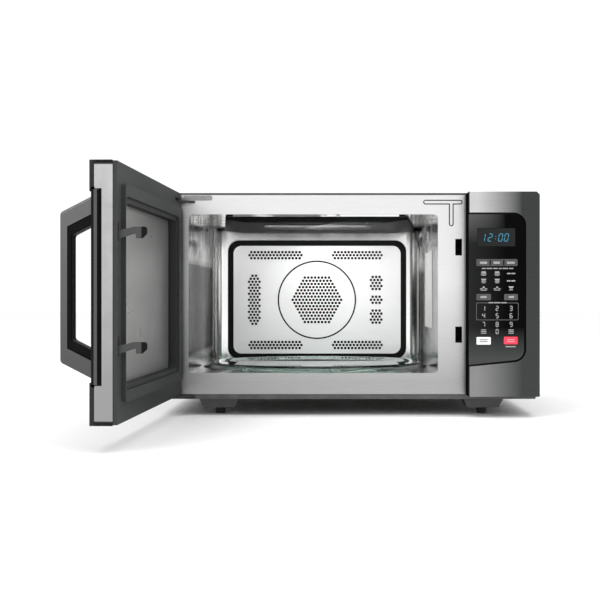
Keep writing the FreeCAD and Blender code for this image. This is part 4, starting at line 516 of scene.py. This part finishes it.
def round_edges(thing, width):
    """Welds the split corners of a CAD mesh and rounds its sharp edges."""
    weld = thing.modifiers.new("weld", "WELD")
    weld.merge_threshold = WELD_GAP * MM
    if width:
        bevel = thing.modifiers.new("bevel", "BEVEL")
        bevel.width = width * MM
        bevel.segments = 3
        bevel.limit_method = "ANGLE"
        bevel.angle_limit = math.radians(BEVEL_ANGLE)
        bevel.use_clamp_overlap = True
    smooth(thing)


def smooth(thing):
    """Shades smoothly and keeps the edges that are sharper than SPLIT_ANGLE."""
    thing.data.shade_smooth()
    normals = thing.modifiers.new("normals", "WEIGHTED_NORMAL")
    normals.keep_sharp = True
    edges = thing.modifiers.new("edges", "EDGE_SPLIT")
    edges.split_angle = math.radians(SPLIT_ANGLE)
    thing.modifiers.move(len(thing.modifiers) - 1, len(thing.modifiers) - 2)


for shader, names in CARRIED.items():
    for name in names:
        thing = nodes[name]
        thing.data.materials.clear()
        thing.data.materials.append(shader.material)
for name, width in ROUNDING.items():
    round_edges(nodes[name], width)

# ---- mesh pieces -----------------------------------------------------------------------------------


def add_piece(name, mesh, shader):
    """Makes an object on the cabinet from a bmesh that is drawn in cabinet millimetres."""
    bmesh.ops.recalc_face_normals(mesh, faces=mesh.faces)
    data = bpy.data.meshes.new(name)
    mesh.to_mesh(data)
    mesh.free()
    data.transform(CABINET)
    thing = bpy.data.objects.new(name, data)
    bpy.context.scene.collection.objects.link(thing)
    data.materials.append(shader.material)
    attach(thing, "cabinet")


def slab(mesh, outline, near, far):
    """Adds a flat shape, drawn in x and z, between two depths y."""
    front = [mesh.verts.new((x, near, z)) for x, z in outline]
    back = [mesh.verts.new((x, far, z)) for x, z in outline]
    count = len(outline)
    mesh.faces.new(front)
    mesh.faces.new(list(reversed(back)))
    for n in range(count):
        following = (n + 1) % count
        mesh.faces.new([front[n], back[n], back[following], front[following]])


def band(mesh, outer, inner, near, far):
    """Adds the strip between two outlines of equally many points."""
    rings = [
        [mesh.verts.new((x, y, z)) for x, z in outline]
        for outline, y in ((outer, near), (inner, near), (inner, far), (outer, far))
    ]
    count = len(outer)
    for n in range(4):
        first, second = rings[n], rings[(n + 1) % 4]
        for k in range(count):
            following = (k + 1) % count
            mesh.faces.new([first[k], second[k], second[following], first[following]])


def box_outline(left, right, low, high, radius=0.0, steps=5):
    if not radius:
        return [(left, low), (right, low), (right, high), (left, high)]
    points = []
    for x, z, quarter in (
        (right - radius, high - radius, 0), (left + radius, high - radius, 1),
        (left + radius, low + radius, 2), (right - radius, low + radius, 3),
    ):
        for step in range(steps + 1):
            angle = (quarter + step / steps) * math.pi / 2
            points.append((x + radius * math.cos(angle), z + radius * math.sin(angle)))
    return points


# ---- control panel ---------------------------------------------------------------------------------

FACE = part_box("panel_insert")[0].y / MM
PRINT_BACK = FACE - 0.01
PLATE_FRONT = FACE - 0.08
MARK_FRONT = FACE - 0.14
COLUMNS = (194.3, 213.7, 233.7)


def prints(name, shader, draw, near=MARK_FRONT):
    mesh = bmesh.new()
    draw(lambda outline: slab(mesh, outline, near, PRINT_BACK))
    add_piece(name, mesh, shader)


SEGMENTS = {
    "a": ((0, 2), (1, 2)), "b": ((1, 2), (1, 1)), "c": ((1, 1), (1, 0)), "d": ((0, 0), (1, 0)),
    "e": ((0, 1), (0, 0)), "f": ((0, 2), (0, 1)), "g": ((0, 1), (1, 1)),
}
DIGITS = {
    "0": "abcdef", "1": "bc", "2": "abged", "3": "abgcd", "4": "fgbc", "5": "afgcd", "6": "afgedc",
    "7": "abc", "8": "abcdefg", "9": "abcdfg",
}


def stroke(start, stop, half, gap=0.0):
    """A straight bar between two points, with pointed ends."""
    a, b = Vector(start), Vector(stop)
    along = (b - a).normalized()
    side = Vector((-along.y, along.x)) * half
    a += along * gap
    b -= along * gap
    corners = [
        a, a + along * half - side, b - along * half - side, b, b - along * half + side,
        a + along * half + side,
    ]
    return [tuple(corner) for corner in corners]


def digit_strokes(digit, x, z, wide, tall, half, lean=0.0, gap=0.0):
    """The strokes of one digit, whose lower left corner is at x, z."""
    for name in DIGITS[digit]:
        ends = []
        for across, up in SEGMENTS[name]:
            height = up * tall / 2
            ends.append((x + across * wide + height * lean, z + height))
        yield stroke(ends[0], ends[1], half, gap)


def draw_clock(add):
    low, wide, tall, lean = 253.6, 5.0, 10.6, 0.17
    for digit, left in zip("1200", (190.2, 200.2, 215.2, 223.6)):
        for outline in digit_strokes(digit, left, low, wide, tall, 0.62, lean, 0.25):
            add(outline)
    for up in (0.33, 0.67):
        x = 210.6 + up * tall * lean
        add(box_outline(x - 0.5, x + 0.5, low + up * tall - 0.5, low + up * tall + 0.5))


# Keys and marks: left, right, low and high.
KEY_BAR = (184.1, 242.8, 218.1, 227.7)
LOWER_KEYS = ((184.1, 204.6), (223.9, 243.2))
LOWER_KEY_LEVELS = (169.0, 177.6)
WHITE_KEY = (184.1, 204.5, 105.1, 115.9)
RED_KEY = (223.3, 243.2, 105.6, 116.4)
FOOT_MARK = (225.6, 240.4, 101.4, 102.9)
SHORTCUT_BOX = (183.6, 244.4, 140.2, 165.3)


def draw_grey_keys(add):
    left, right, low, high = KEY_BAR
    wide = (right - left) / 3
    for n in range(3):
        start = left + n * wide
        add(box_outline(start + 0.9, start + wide - 0.9, low + 0.9, high - 0.9, 0.8))
    low, high = LOWER_KEY_LEVELS
    for left, right in LOWER_KEYS:
        add(box_outline(left + 0.7, right - 0.7, low + 0.7, high - 0.7, 0.8))


def draw_pale_marks(add):
    """Short bars for the printed words."""
    for left, right in ((189.1, 199.2), (208.4, 217.5), (227.7, 238.9)):
        add(box_outline(left, right, 221.1, 224.2, 0.6))
    for left, right in ((189.5, 198.6), (230.3, 237.9)):
        add(box_outline(left, right, 172.0, 174.8, 0.6))
    x = 191.7
    for wide in (5.4, 8.6, 6.8, 4.4, 8.2, 6.4):
        add(box_outline(x, x + wide, 213.7, 215.2, 0.4))
        x += wide + 1.1
    for left, right in ((201.3, 208.4), (209.4, 218.4), (219.4, 227.2)):
        add(box_outline(left, right, 164.5, 166.0, 0.4))


def draw_icons(add):
    """Plain dish shapes over short bars, in rows of three."""
    first, second, third = COLUMNS
    rows = (207.2, 196.6, 185.8)
    for x in (first, second):
        z = rows[0]
        add(box_outline(x - 3.2, x + 3.2, z + 0.6, z + 3.0, 0.6))
        add(box_outline(x - 4.0, x + 4.0, z - 1.3, z - 0.1, 0.4))
        add(box_outline(x - 3.2, x + 3.2, z - 3.1, z - 2.1, 0.4))
        z = rows[1]
        add([(x - 3.9, z + 3.0), (x + 3.9, z + 3.0), (x + 2.4, z + 0.3), (x - 2.4, z + 0.3)])
        add(box_outline(x - 3.6, x + 3.6, z - 1.4, z - 0.5, 0.4))
        add(box_outline(x - 2.6, x + 2.6, z - 3.2, z - 2.2, 0.4))
        z = rows[2]
        add([(x - 2.0, z + 0.4), (x + 2.0, z + 0.4), (x + 1.0, z + 2.8), (x - 1.0, z + 2.8)])
        add(box_outline(x - 5.2, x - 1.2, z - 1.2, z - 0.1, 0.4))
        add(box_outline(x + 1.2, x + 5.2, z - 1.2, z - 0.1, 0.4))
        add(box_outline(x - 4.4, x + 4.4, z - 3.0, z - 2.0, 0.4))
    for z in rows[:2]:
        add(box_outline(third - 6.0, third - 0.6, z - 0.9, z + 0.9, 0.4))
        add(box_outline(third + 0.4, third + 6.0, z - 0.9, z + 0.9, 0.4))
    z = rows[2]
    add([(third - 3.9, z + 3.0), (third + 3.9, z + 3.0), (third + 2.0, z), (third - 2.0, z)])
    add(box_outline(third - 2.6, third + 2.6, z - 2.6, z - 1.4, 0.4))


def draw_digits(add):
    rows = (157.1, 146.5, 134.1, 123.8)
    wide, tall, half = 3.2, 6.2, 0.55
    labels = [
        (x, z, "123456789"[3 * row + n]) for row, z in enumerate(rows[:3]) for n, x in enumerate(COLUMNS)
    ]
    labels.append((COLUMNS[1], rows[3], "0"))
    for x, z, label in labels:
        for outline in digit_strokes(label, x - wide / 2, z - tall / 2, wide, tall, half):
            add(outline)
    for x in (COLUMNS[0], COLUMNS[2]):
        for up in (-2.4, 0.0, 2.4):
            add(box_outline(x - 3.8, x + 3.8, rows[3] + up - 0.6, rows[3] + up + 0.6, 0.4))


def add_border(name, left, right, low, high, radius, wide):
    """The thin line round a key or a group of keys."""
    mesh = bmesh.new()
    inner = box_outline(left + wide, right - wide, low + wide, high - wide, radius - wide / 2)
    band(mesh, box_outline(left, right, low, high, radius), inner, PLATE_FRONT, PRINT_BACK)
    add_piece(name, mesh, border_print)


prints("display_digits", glow, draw_clock)
prints("keypad_grey_keys", grey_print, draw_grey_keys, near=PLATE_FRONT)
prints("keypad_marks", pale_print, draw_pale_marks)
prints("keypad_icons", pale_print, draw_icons)
prints("keypad_digits", pale_print, draw_digits)
prints(
    "keypad_white_key",
    white_print,
    lambda add: add(box_outline(*WHITE_KEY, 1.2)),
    near=PLATE_FRONT,
)
prints(
    "keypad_red_key",
    red_print,
    lambda add: add(box_outline(*RED_KEY, 1.2)),
    near=PLATE_FRONT,
)


def draw_start_mark(add):
    for low in (108.8, 111.6):
        add(box_outline(228.0, 239.0, low, low + 1.5, 0.5))


def draw_stop_mark(add):
    for low in (108.4, 111.2):
        add(box_outline(188.2, 200.2, low, low + 1.5, 0.5))


prints("keypad_start_mark", pink_print, draw_start_mark)
prints("keypad_stop_mark", border_print, draw_stop_mark)
prints("keypad_foot_mark", pale_print, lambda add: add(box_outline(*FOOT_MARK, 0.5)))
add_border("keypad_bar_border", *KEY_BAR, 1.2, 0.6)
for side, (left, right) in zip(("left", "right"), LOWER_KEYS):
    add_border(f"keypad_{side}_border", left, right, *LOWER_KEY_LEVELS, 1.2, 0.6)
add_border("keypad_shortcut_outline", *SHORTCUT_BOX, 2.2, 0.7)

# ---- stage, lights and camera ----------------------------------------------------------------------


def add_floor():
    mesh = bmesh.new()
    bmesh.ops.create_grid(mesh, x_segments=8, y_segments=8, size=14)
    data = bpy.data.meshes.new("floor")
    mesh.to_mesh(data)
    mesh.free()
    floor = bpy.data.objects.new("floor", data)
    bpy.context.scene.collection.objects.link(floor)
    paint = Shader("floor_paint", (0.93, 0.93, 0.93), 0.0, 0.7)
    paint.tint(paint.mapped(paint.noise(0.8, 2), 0, 0.25), (0.90, 0.90, 0.90))
    data.materials.append(paint.material)


def add_light(name, place, aim, wide, tall, power):
    data = bpy.data.lights.new(name, "AREA")
    data.shape = "RECTANGLE"
    data.size, data.size_y = wide, tall
    data.energy = power
    lamp = bpy.data.objects.new(name, data)
    lamp.location = place
    lamp.rotation_euler = (Vector(aim) - Vector(place)).to_track_quat("-Z", "Y").to_euler()
    bpy.context.scene.collection.objects.link(lamp)
    return lamp


CAVITY_MIDDLE = -51
CAVITY_RIGHT = 131


def add_cavity_glow():
    """Two unseen lights under the cavity's ceiling, which stand in for the oven's own lamp."""
    middle = cabinet_x(CAVITY_MIDDLE)
    right_wall, rear_wall = (cabinet_x(CAVITY_RIGHT), 0.2, 0.12), (middle, 0.372, 0.15)
    for name, aim, power in (("lamp_right", right_wall, 1.35), ("lamp_back", rear_wall, 1.25)):
        lamp = add_light(name, (middle, 0.14, 0.276), aim, 0.16, 0.05, power)
        lamp.visible_camera = False
        lamp.visible_glossy = False


def add_world(strength):
    world = bpy.data.worlds.new("studio")
    world.use_nodes = True
    background = world.node_tree.nodes["Background"]
    background.inputs["Color"].default_value = (1.0, 1.0, 1.0, 1)
    background.inputs["Strength"].default_value = strength
    bpy.context.scene.world = world


# The camera looks level and straight back: its place in cabinet millimetres, and its lens.
CAMERA_SIDE = -16.3
CAMERA_BACK = -1820
CAMERA_HIGH = 172
LENS = 74.5
SENSOR = 36
SHIFT = (-0.061667, -0.003333)


def add_camera():
    data = bpy.data.cameras.new("camera")
    data.sensor_width = SENSOR
    data.lens = LENS
    data.shift_x, data.shift_y = SHIFT
    data.clip_start, data.clip_end = 0.05, 60
    camera = bpy.data.objects.new("camera", data)
    camera.location = (cabinet_x(CAMERA_SIDE), CAMERA_BACK * MM, CAMERA_HIGH * MM)
    camera.rotation_euler = (math.radians(90), 0, 0)
    bpy.context.scene.collection.objects.link(camera)
    bpy.context.scene.camera = camera


add_floor()
add_world(1.06)
add_light("top_softbox", (0.1, -0.5, 2.4), (0, 0, 0.15), 2.6, 1.8, 30)
add_light("left_softbox", (-1.7, -2.6, 1.5), (0, 0, 0.15), 1.6, 1.6, 24)
add_light("right_fill", (2.2, -2.2, 1.1), (0.1, 0, 0.15), 1.0, 1.4, 8)
add_cavity_glow()
add_camera()
view = bpy.context.scene.view_settings
view.view_transform = "Standard"
view.look = "None"
view.exposure = 0.0
view.gamma = 1.0
